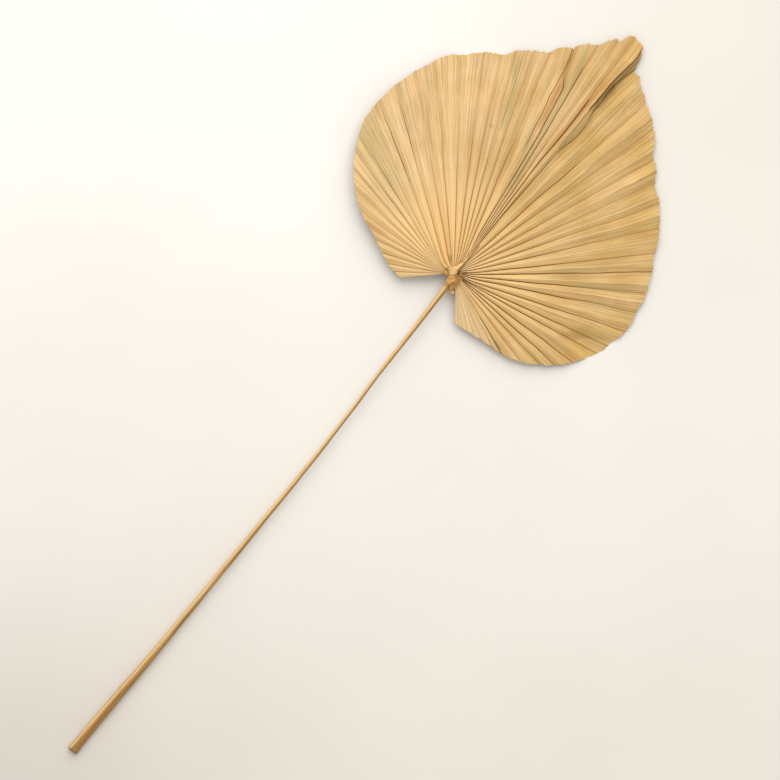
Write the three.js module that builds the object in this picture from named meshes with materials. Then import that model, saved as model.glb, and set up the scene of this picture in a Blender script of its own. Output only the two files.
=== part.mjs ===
// A dried fan-palm leaf on its cut stalk, trimmed to a heart shape, lying face up on a flat surface.
// Millimetres and degrees. The leaf is drawn with the top of its stalk at the origin and its point
// towards +Y. Angles are read from the point, positive towards the right lobe at +X. The finished
// group is moved so that its box is centred over the origin and stands on z = 0.

import * as THREE from "three";

// Fan outline: [angle, distance from the top of the stalk], from the left lobe round to the right.
const RIM = [
  [-130, 59], [-124, 66], [-108, 86], [-98, 109], [-88, 141], [-66, 202], [-52, 227], [-38, 244],
  [-26, 252], [-18, 267], [-10, 290], [-5, 307], [-1, 330], [1.2, 326], [2, 309], [6, 294],
  [14, 275], [26, 248], [44, 226], [56, 214], [68, 200], [80, 177], [98, 134], [112, 92],
  [122, 69], [140, 51],
];
// Nicks and tongues of the cut rim: [angle, distance in or out].
const NICKS = [
  [-99, -2], [-95, 3], [-88, -1], [-47, -1.5], [-40, 1], [-26, -1], [-22, 1], [-19, -1], [-15.5, -5],
  [-12.9, -2], [-10.6, 0], [-8.8, -1.5], [-6.2, 0.5], [-4.8, 4.5], [-3.4, -3.5], [-2.2, 0.5], [2.2, -1.5],
  [6, 1], [12, 1.5], [20, -3], [30, 0], [46, -3], [60, -2], [78, 1.5], [104, 2], [109, 4], [113, -1],
];
// How far the cut rim wanders in and out from one fold to the next.
const RIM_WANDER = [
  [-130, 0.3], [-60, 0.6], [-36, 1.1], [-24, 1.6], [-4, 1], [3, 0.8], [14, 1.6], [44, 1.2], [70, 0.6],
];

// Even pleats, as [angle where the stretch ends, pleats in it], on either side of the middle folds.
const FAN_START = -130;
const LEFT_PLEATS = [[-103, 4], [-61.3, 8], [-30.5, 5], [-14.9, 4]];
const MIDDLE_FOLDS = [-10.6, -8.8, -7.3, -6.2, -4.8, -3.4, -2.2, -0.9, 1.2, 2.2, 6, 9.3];
const RIGHT_PLEATS = [[92.3, 14], [108.5, 3], [140, 7]];
const FOLD_WANDER = 0.32;

// Where the folds leave the top of the stalk, by their angle at the rim: [angle, x, y].
const ROOTS = [
  [-130, -9.5, -4.5], [-116, -10.5, -3.8], [-103, -12, -2.8], [-85, -12.5, -2.5], [-60, -12.5, -1.5],
  [-50, -12, 7], [-44, -11, 10.5], [-38, -9, 12.5], [-30, -6.5, 14.5], [-20, -2, 15.8], [-12, -0.8, 16],
  [0, -1, 16.6], [12, 1.5, 16.3], [20, 3, 15.5], [30, 5.5, 13.5], [38, 7, 11.5], [45, 8.2, 10],
  [60, 9, 7], [75, 9.4, 3.2], [90, 9.5, 2.7], [108, 10, -1.5], [125, 10.2, -5], [140, 9.8, -7.5],
];

// Folds stand steep at the stalk and open out towards the rim. Relief scales them round the fan.
const FOLD_SLOPE_AT_STALK = 50;
const FOLD_SLOPE_AT_RIM = 15;
const FOLDS_OPEN_BY = 0.7;
const DEPTH_WANDER = 0.2;
const FOLD_RELIEF = [[-130, 0.8], [-98, 0.6], [-75, 0.6], [-50, 1], [60, 1], [100, 0.85], [140, 0.5]];

// Height of the fan's middle surface over the floor: at the stalk, and round the rim.
const HUB_HEIGHT = 16;
const RIM_HEIGHT = [
  [-130, 12], [-100, 16], [-78, 17], [-58, 11], [-44, 6], [-36, 3.4], [-30.5, 2], [-25, 3.4],
  [-18, 5.5], [0, 5.5], [40, 5], [60, 4.6], [70, 3.4], [78.3, 2], [86, 4.2], [96, 7], [115, 9],
  [140, 10],
];
const DROOP = 1.4;

// The rim lies flat on the floor at two folds. With the cut end of the stalk they carry the leaf.
const FEET = [-30.5, 78.3];
const FOOT_REACH = 4.5;
const FOOT_FROM = 0.74;
const FOOT_FLATTENING = 2.8;

// The strip along the middle stands proud of the right half, most at the point.
const STRIP_FROM = -6.2;
const STRIP_TO = 1.2;
const STRIP_RISE = 4;
const STRIP_ROOT = 0.45;

const BLADE_THICKNESS = 0.7;
const BASE_THICKNESS = 1.1;
const RADIAL_STEPS = 12;
const STEP_CROWDING = 1.35;
const JOINT_GAP = 0.6;
// The fan's inner edge is found in this many steps from the roots towards the middle of the stalk.
const EDGE_STEPS = 200;
const STALK_MIDDLE = { x: -1.2, y: 2 };
const BLADE_TOP_AT_STALK = HUB_HEIGHT + 1.4;

// Stalk: place across, half width, underside and top at each distance along, from the cut end
// to the swelling under the fan, and then the rib that lies on the fan's middle.
const STALK = [
  { y: -667, x: -3.4, half: 5.4, under: 0, top: 9.4 },
  { y: -600, x: -1.8, half: 5.1, under: 1.4, top: 10.2 },
  { y: -523, x: 0.5, half: 4, under: 3.6, top: 10.9 },
  { y: -421, x: 2.5, half: 3.3, under: 6, top: 11.8 },
  { y: -340, x: 3.5, half: 2.9, under: 7.8, top: 13 },
  { y: -250, x: 4.4, half: 2.5, under: 9.5, top: 14.2 },
  { y: -175, x: 3.5, half: 2.3, under: 11, top: 15.5 },
  { y: -140, x: 2.4, half: 2.3, under: 11.6, top: 16.1 },
  { y: -80, x: 1.8, half: 2.7, under: 12.3, top: 17.2 },
  { y: -30, x: 1.2, half: 3.2, under: 12.9, top: 18.2 },
  { y: -12, x: 0.9, half: 4.2, under: 12, top: 19.4 },
  { y: -2, x: -1, half: 5.6, under: 11, top: 20.6 },
  { y: 4, x: -2, half: 5.4, under: 11.6, top: 22 },
  { y: 6.5, x: -1.9, half: 4.6, under: 17.8, top: 21.8 },
  { y: 13, x: -0.6, half: 2.8, under: 17.8, top: 21 },
  { y: 26, x: 0.3, half: 2, under: 17.6, top: 20 },
  { y: 44, x: 1.1, half: 0.8, under: 17.4, top: 18.4 },
];
const LONGEST_STEP = 14;
// Corners of the stalk's section, in half widths and half heights: a flat back and a ridged face.
const STALK_SECTION = [
  [-0.6, -1], [0.6, -1], [1, -0.4], [0.92, 0.3], [0.4, 0.86], [-0.12, 1], [-0.78, 0.6], [-1, -0.25],
];
const CUT_END_REST = 12;

const BLADE_MATERIAL = { color: 0xe0bd84, roughness: 0.78, metalness: 0 };
const STALK_MATERIAL = { color: 0xcf9f5c, roughness: 0.55, metalness: 0 };

const lerp = THREE.MathUtils.lerp;
const clamp = THREE.MathUtils.clamp;
const radians = THREE.MathUtils.degToRad;

// What is drawn at random: the seed of each kind of draw.
const DRAWS = { angle: 1, depth: 2, rim: 3 };
const DRAW_STRIDE = 12.9898;
const DRAW_SEED_STRIDE = 78.233;
const DRAW_SCALE = 43758.5453;

// A fixed draw from -1 to 1 for each index, and for each kind of draw.
function draw(index, seed) {
  const value = Math.sin(index * DRAW_STRIDE + seed * DRAW_SEED_STRIDE) * DRAW_SCALE;
  return 2 * (value - Math.floor(value)) - 1;
}

// A smooth curve through [x, y] knots that doesn't overshoot them and is level past its ends.
function curveThrough(knots) {
  const last = knots.length - 1;
  const slopes = knots.slice(1).map(([x, y], i) => (y - knots[i][1]) / (x - knots[i][0]));
  const tangents = knots.map((_, i) => {
    if (i === 0 || i === last) return slopes[Math.min(i, last - 1)];
    const product = slopes[i - 1] * slopes[i];
    return product > 0 ? (2 * product) / (slopes[i - 1] + slopes[i]) : 0;
  });
  return (x) => {
    if (x <= knots[0][0]) return knots[0][1];
    if (x >= knots[last][0]) return knots[last][1];
    const i = knots.findIndex((knot) => knot[0] > x) - 1;
    const width = knots[i + 1][0] - knots[i][0];
    const t = (x - knots[i][0]) / width;
    const fromLeft = knots[i][1] * (1 + 2 * t) + tangents[i] * width * t;
    const fromRight = knots[i + 1][1] * (3 - 2 * t) - tangents[i + 1] * width * (1 - t);
    return fromLeft * (1 - t) ** 2 + fromRight * t ** 2;
  };
}

const rimAt = curveThrough(RIM);
const nickAt = curveThrough(NICKS);
const rimWanderAt = curveThrough(RIM_WANDER);
const rimHeightAt = curveThrough(RIM_HEIGHT);
const reliefAt = curveThrough(FOLD_RELIEF);
const rootXAt = curveThrough(ROOTS.map(([angle, x]) => [angle, x]));
const rootYAt = curveThrough(ROOTS.map(([angle, , y]) => [angle, y]));

function stalkCurve(column) {
  return curveThrough(STALK.map((station) => [station.y, station[column]]));
}

const stalkX = stalkCurve("x");
const stalkHalf = stalkCurve("half");
const stalkUnder = stalkCurve("under");
const stalkTop = stalkCurve("top");

// The even pleats of one stretch: a crest and a valley for each.
function evenFolds(from, stretches) {
  const angles = [];
  let start = from;
  for (const [end, pleats] of stretches) {
    const facet = (end - start) / pleats / 2;
    for (let i = 1; i <= 2 * pleats; i++) {
      const wander = i === 2 * pleats ? 0 : facet * FOLD_WANDER * draw(angles.length + from, DRAWS.angle);
      angles.push(start + facet * i + wander);
    }
    start = end;
  }
  return angles;
}

// Every fold of the fan: its angle at the rim, its side, and the places of its root and its rim end.
function fanFolds() {
  const right = MIDDLE_FOLDS[MIDDLE_FOLDS.length - 1];
  const angles = [
    FAN_START,
    ...evenFolds(FAN_START, LEFT_PLEATS),
    ...MIDDLE_FOLDS,
    ...evenFolds(right, RIGHT_PLEATS),
  ];
  const folds = angles.map((angle, i) => {
    const rim = rimAt(angle) + nickAt(angle) + rimWanderAt(angle) * draw(i, DRAWS.rim);
    return {
      angle,
      side: i % 2 ? 1 : -1,
      depthScale: reliefAt(angle) * (1 + DEPTH_WANDER * draw(i, DRAWS.depth)),
      root: { x: rootXAt(angle), y: rootYAt(angle) },
      end: { x: rim * Math.sin(radians(angle)), y: rim * Math.cos(radians(angle)) },
    };
  });
  folds.forEach((fold, i) => {
    const before = folds[Math.max(i - 1, 0)];
    const after = folds[Math.min(i + 1, folds.length - 1)];
    fold.widthAtRoot = apart(before.root, after.root) / 2;
    fold.widthAtRim = apart(before.end, after.end) / 2;
  });
  return folds;
}

function apart(from, to) {
  return Math.hypot(to.x - from.x, to.y - from.y);
}

function between(from, to, share) {
  return { x: lerp(from.x, to.x, share), y: lerp(from.y, to.y, share) };
}

function clearsStalk({ x, y }) {
  const beside = Math.abs(x - stalkX(y)) > stalkHalf(y) + JOINT_GAP;
  return beside || stalkUnder(y - JOINT_GAP) > BLADE_TOP_AT_STALK;
}

// Where a fold starts: as near to the middle of the stalk as it can be and still clear it.
function innerPlace(fold) {
  let step = 0;
  while (step < EDGE_STEPS && clearsStalk(between(fold.root, STALK_MIDDLE, (step + 1) / EDGE_STEPS))) step++;
  return between(fold.root, STALK_MIDDLE, step / EDGE_STEPS);
}

// Depth of a fold from crest to valley at a share of the way to the rim.
function foldDepth(fold, share) {
  const openness = Math.min(1, share / FOLDS_OPEN_BY);
  const slope = lerp(FOLD_SLOPE_AT_STALK, FOLD_SLOPE_AT_RIM, openness);
  const facetWidth = lerp(fold.widthAtRoot, fold.widthAtRim, share);
  return facetWidth * Math.tan(radians(slope)) * fold.depthScale;
}

// Rise of the strip along the middle over the fan's own surface.
function stripRise(fold, share) {
  if (fold.angle <= STRIP_FROM || fold.angle > STRIP_TO) return 0;
  const across = (fold.angle - STRIP_FROM) / (STRIP_TO - STRIP_FROM);
  return STRIP_RISE * across * clamp((share - STRIP_ROOT) / (1 - STRIP_ROOT), 0, 1);
}

// How far a point is pressed flat on the floor, from 0 to 1.
function footShare(fold, share) {
  const across = FEET.map((foot) => Math.exp(-(((fold.angle - foot) / FOOT_REACH) ** 2)));
  const along = clamp((share - FOOT_FROM) / (1 - FOOT_FROM), 0, 1);
  return Math.min(1, FOOT_FLATTENING * Math.max(...across) * along);
}

// One point of the middle surface over a place on a fold, with the vertical thickness there.
function bladePoint(fold, place, share) {
  const surface = lerp(HUB_HEIGHT, rimHeightAt(fold.angle), share ** DROOP);
  const folded = surface + (fold.side * foldDepth(fold, share)) / 2 + stripRise(fold, share);
  const thickness = lerp(BASE_THICKNESS, BLADE_THICKNESS, Math.min(1, share / FOLDS_OPEN_BY));
  return { ...place, z: lerp(folded, thickness / 2, footShare(fold, share)), thickness };
}

// One fold's row of points: its start beside the stalk, then from its root out to the rim.
function foldRow(fold) {
  const outward = Array.from({ length: RADIAL_STEPS }, (_, k) => {
    const share = (k / (RADIAL_STEPS - 1)) ** STEP_CROWDING;
    return bladePoint(fold, between(fold.root, fold.end, share), share);
  });
  return [bladePoint(fold, innerPlace(fold), 0), ...outward];
}

// The fan: a sheet of facets between the folds, alike on both faces, closed round its edge.
function bladeGeometry() {
  const folds = fanFolds();
  const rows = folds.map(foldRow);
  const columns = RADIAL_STEPS + 1;
  const positions = [];
  for (const { x, y, z, thickness } of rows.flat()) {
    const under = Math.max(0, z - thickness / 2);
    positions.push(x, y, Math.max(z + thickness / 2, under + BLADE_THICKNESS), x, y, under);
  }
  const top = (i, k) => 2 * (i * columns + k);
  const faces = [];
  const quad = (a, b, c, d) => faces.push(a, b, c, a, c, d);
  for (let i = 0; i < folds.length - 1; i++) {
    for (let k = 0; k < RADIAL_STEPS; k++) {
      const [a, b, c, d] = [top(i, k), top(i + 1, k), top(i + 1, k + 1), top(i, k + 1)];
      quad(a, b, c, d);
      faces.push(a + 1, c + 1, b + 1, a + 1, d + 1, c + 1);
    }
    quad(top(i + 1, 0), top(i, 0), top(i, 0) + 1, top(i + 1, 0) + 1);
    const outer = RADIAL_STEPS;
    quad(top(i, outer), top(i + 1, outer), top(i + 1, outer) + 1, top(i, outer) + 1);
  }
  const end = folds.length - 1;
  for (let k = 0; k < RADIAL_STEPS; k++) {
    quad(top(0, k), top(0, k + 1), top(0, k + 1) + 1, top(0, k) + 1);
    quad(top(end, k + 1), top(end, k), top(end, k) + 1, top(end, k + 1) + 1);
  }
  return closedGeometry(positions, faces);
}

function closedGeometry(positions, faces) {
  const geometry = new THREE.BufferGeometry();
  geometry.setAttribute("position", new THREE.Float32BufferAttribute(positions, 3));
  geometry.setIndex(faces);
  geometry.computeVertexNormals();
  return geometry;
}

// Distances along the stalk at which it has a section: its stations, and steps between them.
function stalkSections() {
  const along = [STALK[0].y, STALK[0].y + CUT_END_REST];
  for (const { y } of STALK.slice(1)) {
    const from = along[along.length - 1];
    const steps = Math.max(2, Math.ceil((y - from) / LONGEST_STEP));
    for (let i = 1; i <= steps; i++) along.push(lerp(from, y, i / steps));
  }
  return along;
}

// The stalk: its section carried along from the cut end to the rib's tip.
function stalkGeometry() {
  const along = stalkSections();
  const corners = STALK_SECTION.length;
  const positions = [];
  for (const y of along) {
    const middle = (stalkTop(y) + stalkUnder(y)) / 2;
    const halfHeight = (stalkTop(y) - stalkUnder(y)) / 2;
    const onFloor = y <= STALK[0].y + CUT_END_REST;
    for (const [across, up] of STALK_SECTION) {
      const z = onFloor && up === -1 ? 0 : middle + halfHeight * up;
      positions.push(stalkX(y) + stalkHalf(y) * across, y, z);
    }
  }
  const faces = [];
  for (let i = 0; i < along.length - 1; i++) {
    for (let j = 0; j < corners; j++) {
      const next = (j + 1) % corners;
      const a = i * corners + j;
      const b = i * corners + next;
      faces.push(a, a + corners, b + corners, a, b + corners, b);
    }
  }
  const end = (along.length - 1) * corners;
  for (let j = 1; j < corners - 1; j++) {
    faces.push(0, j, j + 1);
    faces.push(end, end + j + 1, end + j);
  }
  return closedGeometry(positions, faces);
}

function piece(name, geometry, material) {
  const mesh = new THREE.Mesh(geometry, new THREE.MeshStandardMaterial({ ...material, flatShading: true }));
  mesh.name = name;
  return mesh;
}

const leaf = new THREE.Group();
leaf.name = "dried_palm_leaf";
leaf.add(piece("blade", bladeGeometry(), BLADE_MATERIAL));
leaf.add(piece("stalk", stalkGeometry(), STALK_MATERIAL));

const box = new THREE.Box3().setFromObject(leaf);
const centre = box.getCenter(new THREE.Vector3());
leaf.position.set(-centre.x, -centre.y, -box.min.z);

export default leaf;
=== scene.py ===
"""A dried fan-palm leaf, trimmed to a heart shape with one long point, lying face up on a pale floor.

Lengths of the leaf are in millimetres in the leaf's own frame: the origin is the middle of the swelling
at the top of the stalk, +Y runs to the point and +X to the right lobe. Angles are in degrees from +Y,
clockwise. The scene itself is in metres.
"""

from __future__ import annotations

import logging
import math
from dataclasses import dataclass, field
from enum import Enum

import bpy
import numpy as np
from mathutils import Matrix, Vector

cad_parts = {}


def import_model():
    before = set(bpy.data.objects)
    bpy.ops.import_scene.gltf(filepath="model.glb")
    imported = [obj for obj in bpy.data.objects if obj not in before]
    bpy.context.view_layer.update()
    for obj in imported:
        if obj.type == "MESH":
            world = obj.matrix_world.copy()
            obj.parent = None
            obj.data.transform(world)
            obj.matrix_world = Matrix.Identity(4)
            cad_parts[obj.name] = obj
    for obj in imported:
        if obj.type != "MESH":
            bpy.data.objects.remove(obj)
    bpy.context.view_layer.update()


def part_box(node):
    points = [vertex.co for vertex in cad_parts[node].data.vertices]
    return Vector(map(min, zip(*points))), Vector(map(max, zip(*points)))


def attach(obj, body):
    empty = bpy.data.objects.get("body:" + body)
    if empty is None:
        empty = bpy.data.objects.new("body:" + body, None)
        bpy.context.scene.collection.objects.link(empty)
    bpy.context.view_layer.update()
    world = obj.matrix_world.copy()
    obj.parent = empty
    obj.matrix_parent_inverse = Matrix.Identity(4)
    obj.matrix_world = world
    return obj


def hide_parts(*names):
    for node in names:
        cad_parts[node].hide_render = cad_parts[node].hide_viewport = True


LOG = logging.getLogger("palm_leaf")
MILLIMETRE = 0.001
LEAF_SHIFT = (-0.17, 168.71)
FLOOR_GAP = 0.02
CEILING = 21.9
WELD_WITHIN = 1e-6
TINY = 1e-9
NO_LINE = 9.0
SCATTER = (12.9898, 78.233, 43758.5453)
LATTICE = (0.731, 57.113)
Knots = tuple[tuple[float, float], ...]
Colour = tuple[float, float, float]


class Draw(Enum):
    """What is drawn at random, each with a seed of its own."""

    ANGLE = 1
    DEPTH = 2
    RIM = 3
    WANDER = 4
    SWELL = 5
    TEETH = 6
    BULGE = 7
    FIBRE = 8
    STALK = 9
    HUB = 10
    LIFT = 11


class Tone(Enum):
    """The stains on the fan, and the painted shade of the dark tone, each by the name of the attribute that
    carries it.
    """

    GREEN = "green"
    BROWN = "brown"
    PALE = "pale"
    # The dark tone is painted shade: in the splits' open ends, under the strip's edge and in a crevice by the
    # hub.
    DARK = "dark"


class Part(Enum):
    """The names of the nodes that the scene's pieces stand for."""

    BLADE = "blade"
    STALK = "stalk"


def draw(index: np.ndarray | float, seed: Draw) -> np.ndarray:
    """Give a fixed draw from -1 to 1 for each index.

    Args:
        index: Any number, or an array of them.
        seed: What the draw is for.

    Returns:
        An array shaped as the index is.
    """
    by_index, by_seed, scale = SCATTER
    value = np.sin(np.asarray(index, float) * by_index + seed.value * by_seed) * scale
    return 2 * (value - np.floor(value)) - 1


def ripple(u: np.ndarray, v: np.ndarray | float, seed: Draw) -> np.ndarray:
    """Give smooth noise from -1 to 1, with one swell to each whole number of u and of v.

    Args:
        u: Place along the first axis.
        v: Place along the second axis.
        seed: What the noise is for.

    Returns:
        An array shaped as u and v together.
    """
    u, v = np.broadcast_arrays(np.asarray(u, float), np.asarray(v, float))
    i, j = np.floor(u), np.floor(v)
    s, t = u - i, v - j
    s, t = s * s * (3 - 2 * s), t * t * (3 - 2 * t)

    def corner(a: np.ndarray, b: np.ndarray) -> np.ndarray:
        """Give the draw at one corner of the lattice."""
        return draw(a * LATTICE[0] + b * LATTICE[1], seed)

    low = corner(i, j) * (1 - s) + corner(i + 1, j) * s
    high = corner(i, j + 1) * (1 - s) + corner(i + 1, j + 1) * s
    return low * (1 - t) + high * t


def ease(value: np.ndarray | float, low: float, high: float) -> np.ndarray:
    """Rise smoothly from 0 at low to 1 at high."""
    share = np.clip((np.asarray(value, float) - low) / (high - low), 0, 1)
    return share * share * (3 - 2 * share)


def stretch(value: np.ndarray, start: float, full: float, fading: float, end: float) -> np.ndarray:
    """Rise smoothly from 0 at start to 1 at full, and fall again from fading to 0 at end."""
    return ease(value, start, full) * (1 - ease(value, fading, end))


@dataclass(frozen=True)
class Curve:
    """A smooth curve through knots that doesn't overshoot them and is level past its ends."""

    knots: Knots

    def __call__(self, x: np.ndarray | float) -> np.ndarray:
        """Read the curve.

        Args:
            x: Where to read it.

        Returns:
            Its heights there.
        """
        xs, ys = np.array(self.knots, float).T
        slopes = np.diff(ys) / np.diff(xs)
        tangents = np.concatenate([slopes[:1], slopes])
        before, after = slopes[:-1], slopes[1:]
        product = before * after
        total = np.where(product > 0, before + after, 1)
        tangents[1:-1] = np.where(product > 0, 2 * product / total, 0)
        x = np.clip(np.asarray(x, float), xs[0], xs[-1])
        i = np.clip(np.searchsorted(xs, x, side="right") - 1, 0, len(xs) - 2)
        width = xs[i + 1] - xs[i]
        t = (x - xs[i]) / width
        left = ys[i] * (1 + 2 * t) + tangents[i] * width * t
        right = ys[i + 1] * (3 - 2 * t) - tangents[i + 1] * width * (1 - t)
        return left * (1 - t) ** 2 + right * t**2


def in_scene(points: np.ndarray) -> np.ndarray:
    """Take rows of leaf points in millimetres to the part's frame in metres."""
    return (points + np.array([*LEAF_SHIFT, 0.0])) * MILLIMETRE


def polar(radius: np.ndarray | float, degrees: np.ndarray | float) -> np.ndarray:
    """Give the x, y at a distance and an angle from +Y, clockwise."""
    angle = np.radians(degrees)
    return np.stack(np.broadcast_arrays(radius * np.sin(angle), radius * np.cos(angle)), -1)


def deselect_all() -> None:
    """Leave edit mode and deselect every object."""
    if bpy.context.mode != "OBJECT":
        bpy.ops.object.mode_set(mode="OBJECT")
    bpy.ops.object.select_all(action="DESELECT")


def take(piece: bpy.types.Object) -> None:
    """Make a piece the only selected one, and the active one.

    Args:
        piece: The object.
    """
    deselect_all()
    piece.select_set(True)
    bpy.context.view_layer.objects.active = piece


def named(name: str) -> bpy.types.Object:
    """Name the object that an operator has just added, and its mesh.

    Args:
        name: The piece's name.

    Returns:
        The object.
    """
    piece = bpy.context.active_object
    piece.name = name
    piece.data.name = name
    return piece


def corners_of(piece: bpy.types.Object) -> np.ndarray:
    """Read where a mesh's vertices are.

    Args:
        piece: The mesh object.

    Returns:
        Rows of x, y, z.
    """
    rows = np.empty(len(piece.data.vertices) * 3, np.float32)
    piece.data.vertices.foreach_get("co", rows)
    return rows.reshape(-1, 3).astype(float)


def place_corners(piece: bpy.types.Object, points: np.ndarray) -> None:
    """Put a mesh's vertices at rows of leaf points in millimetres."""
    piece.data.vertices.foreach_set("co", in_scene(points).astype(np.float32).ravel())
    piece.data.update()


def write_attribute(piece: bpy.types.Object, name: str, values: np.ndarray) -> None:
    """Store one number at each vertex for the piece's material to read.

    Args:
        piece: The mesh object.
        name: The attribute's name.
        values: One number for each vertex.
    """
    layer = piece.data.attributes.new(name=name, type="FLOAT", domain="POINT")
    layer.data.foreach_set("value", np.asarray(values, np.float32).ravel())


def select_faces(piece: bpy.types.Object, chosen: np.ndarray) -> None:
    """Enter edit mode with just the chosen faces selected.

    Args:
        piece: The mesh object.
        chosen: One true or false for each face.
    """
    take(piece)
    bpy.ops.object.mode_set(mode="EDIT")
    bpy.ops.mesh.select_mode(type="FACE")
    bpy.ops.mesh.select_all(action="DESELECT")
    bpy.ops.object.mode_set(mode="OBJECT")
    piece.data.polygons.foreach_set("select", np.asarray(chosen, bool))
    bpy.ops.object.mode_set(mode="EDIT")


def apply_modifier(piece: bpy.types.Object, kind: str, **settings: object) -> None:
    """Add a modifier and apply it.

    Args:
        piece: The mesh object.
        kind: The modifier's type.
        **settings: Its settings by name.
    """
    take(piece)
    modifier = piece.modifiers.new(name=kind.title(), type=kind)
    for name, value in settings.items():
        setattr(modifier, name, value)
    bpy.ops.object.modifier_apply(modifier=modifier.name)


def mend(piece: bpy.types.Object, weld: bool) -> None:
    """Turn every face outwards.

    Args:
        piece: The mesh object.
        weld: Whether vertices that meet are merged first.
    """
    take(piece)
    bpy.ops.object.mode_set(mode="EDIT")
    bpy.ops.mesh.select_all(action="SELECT")
    if weld:
        bpy.ops.mesh.remove_doubles(threshold=WELD_WITHIN)
    bpy.ops.mesh.normals_make_consistent(inside=False)
    bpy.ops.object.mode_set(mode="OBJECT")


def smooth(piece: bpy.types.Object, degrees: float) -> None:
    """Shade a piece smooth, but for edges sharper than an angle.

    Args:
        piece: The mesh object.
        degrees: The angle.
    """
    take(piece)
    bpy.ops.object.shade_smooth_by_angle(angle=math.radians(degrees), keep_sharp_edges=False)
    deselect_all()


def seat(piece: bpy.types.Object, replaced: Part | None = None) -> bpy.types.Object:
    """Put a finished piece on the leaf's one body.

    Args:
        piece: The finished object.
        replaced: The node that it stands for, if any.

    Returns:
        The same object.
    """
    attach(piece, "root")
    if replaced is not None:
        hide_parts(replaced.value)
    LOG.info("%s: %d faces", piece.name, len(piece.data.polygons))
    return piece


class Bench:
    """Lays out the nodes of one material."""

    def __init__(self, name: str, roughness: float, specular: float) -> None:
        """Start a material with one shader.

        Args:
            name: The material's name.
            roughness: The shader's roughness where no node sets it.
            specular: The shader's specular level.
        """
        self.material = bpy.data.materials.new(name)
        self.material.use_nodes = True
        self.nodes = self.material.node_tree.nodes
        self.links = self.material.node_tree.links
        self.nodes.clear()
        output = self.nodes.new("ShaderNodeOutputMaterial")
        self.shader = self.nodes.new("ShaderNodeBsdfPrincipled")
        self.shader.inputs["Roughness"].default_value = roughness
        self.shader.inputs["Specular IOR Level"].default_value = specular
        self.links.new(self.shader.outputs["BSDF"], output.inputs["Surface"])

    def _feed(self, socket: bpy.types.NodeSocket, value: object) -> None:
        """Link a socket to another node's output, or set its value.

        Args:
            socket: The input.
            value: A node's output, a number or a colour.
        """
        if isinstance(value, bpy.types.NodeSocket):
            self.links.new(value, socket)
        elif isinstance(value, tuple) and len(value) == 3 and socket.type == "RGBA":
            socket.default_value = (*value, 1.0)
        else:
            socket.default_value = value

    def attribute(self, name: str) -> bpy.types.NodeSocket:
        """Read one of the mesh's own attributes.

        Args:
            name: The attribute's name.

        Returns:
            Its output.
        """
        node = self.nodes.new("ShaderNodeAttribute")
        node.attribute_name = name
        return node.outputs["Fac"]

    def place(self) -> bpy.types.NodeSocket:
        """Read the place on the object."""
        return self.nodes.new("ShaderNodeTexCoord").outputs["Object"]

    def mapped(self, scale: tuple[float, float, float], turn: float) -> bpy.types.NodeSocket:
        """Read the place on the object, scaled and turned about the upright axis.

        Args:
            scale: The scale along each axis.
            turn: The turn in degrees.

        Returns:
            The place's output.
        """
        node = self.nodes.new("ShaderNodeMapping")
        node.inputs["Scale"].default_value = scale
        node.inputs["Rotation"].default_value = (0.0, 0.0, math.radians(turn))
        self.links.new(self.place(), node.inputs["Vector"])
        return node.outputs["Vector"]

    def maths(self, operation: str, *values: object) -> bpy.types.NodeSocket:
        """Work out one number from others.

        Args:
            operation: The operation's name.
            *values: Numbers or outputs, in order.

        Returns:
            The result's output.
        """
        node = self.nodes.new("ShaderNodeMath")
        node.operation = operation
        for socket, value in zip(node.inputs, values):
            self._feed(socket, value)
        return node.outputs[0]

    def product(self, first: object, second: object) -> bpy.types.NodeSocket:
        """Multiply two numbers or outputs."""
        return self.maths("MULTIPLY", first, second)

    def span(
        self, value: object, low: float, high: float, at_low: float, at_high: float
    ) -> bpy.types.NodeSocket:
        """Map a value smoothly from one range to another.

        Args:
            value: The output to map.
            low: Its lower limit.
            high: Its upper limit.
            at_low: The result at the lower limit and below.
            at_high: The result at the upper limit and above.

        Returns:
            The result's output.
        """
        node = self.nodes.new("ShaderNodeMapRange")
        node.interpolation_type = "SMOOTHSTEP"
        for socket, given in zip(node.inputs, (value, low, high, at_low, at_high)):
            self._feed(socket, given)
        return node.outputs["Result"]

    def vector(self, *values: object) -> bpy.types.NodeSocket:
        """Join up to three numbers or outputs into a vector.

        Args:
            *values: The numbers or outputs, in order.

        Returns:
            The vector's output.
        """
        node = self.nodes.new("ShaderNodeCombineXYZ")
        for socket, value in zip(node.inputs, values):
            self._feed(socket, value)
        return node.outputs["Vector"]

    def noise(self, where: object, scale: float, detail: float, roughness: float) -> bpy.types.NodeSocket:
        """Read a noise pattern, mostly from 0.3 to 0.7.

        Args:
            where: The vector that the pattern lies on.
            scale: How fine it is.
            detail: How many octaves it has.
            roughness: How strong the finer octaves are.

        Returns:
            The pattern's output.
        """
        node = self.nodes.new("ShaderNodeTexNoise")
        self._feed(node.inputs["Vector"], where)
        node.inputs["Scale"].default_value = scale
        node.inputs["Detail"].default_value = detail
        node.inputs["Roughness"].default_value = roughness
        return node.outputs["Fac"]

    def chance(self, value: object) -> bpy.types.NodeSocket:
        """Give an even random number from 0 to 1 for a number.

        Args:
            value: The number or output.

        Returns:
            The random number's output.
        """
        node = self.nodes.new("ShaderNodeTexWhiteNoise")
        node.noise_dimensions = "1D"
        self._feed(node.inputs["W"], value)
        return node.outputs["Value"]

    def mix(self, share: object, first: object, second: object, blend: str = "MIX") -> bpy.types.NodeSocket:
        """Mix two colours.

        Args:
            share: How much of the second there is.
            first: The first colour or output.
            second: The second colour or output.
            blend: How they are mixed.

        Returns:
            The mixed colour's output.
        """
        node = self.nodes.new("ShaderNodeMix")
        node.data_type = "RGBA"
        node.blend_type = blend
        self._feed(node.inputs[0], share)
        self._feed(node.inputs[6], first)
        self._feed(node.inputs[7], second)
        return node.outputs[2]

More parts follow.
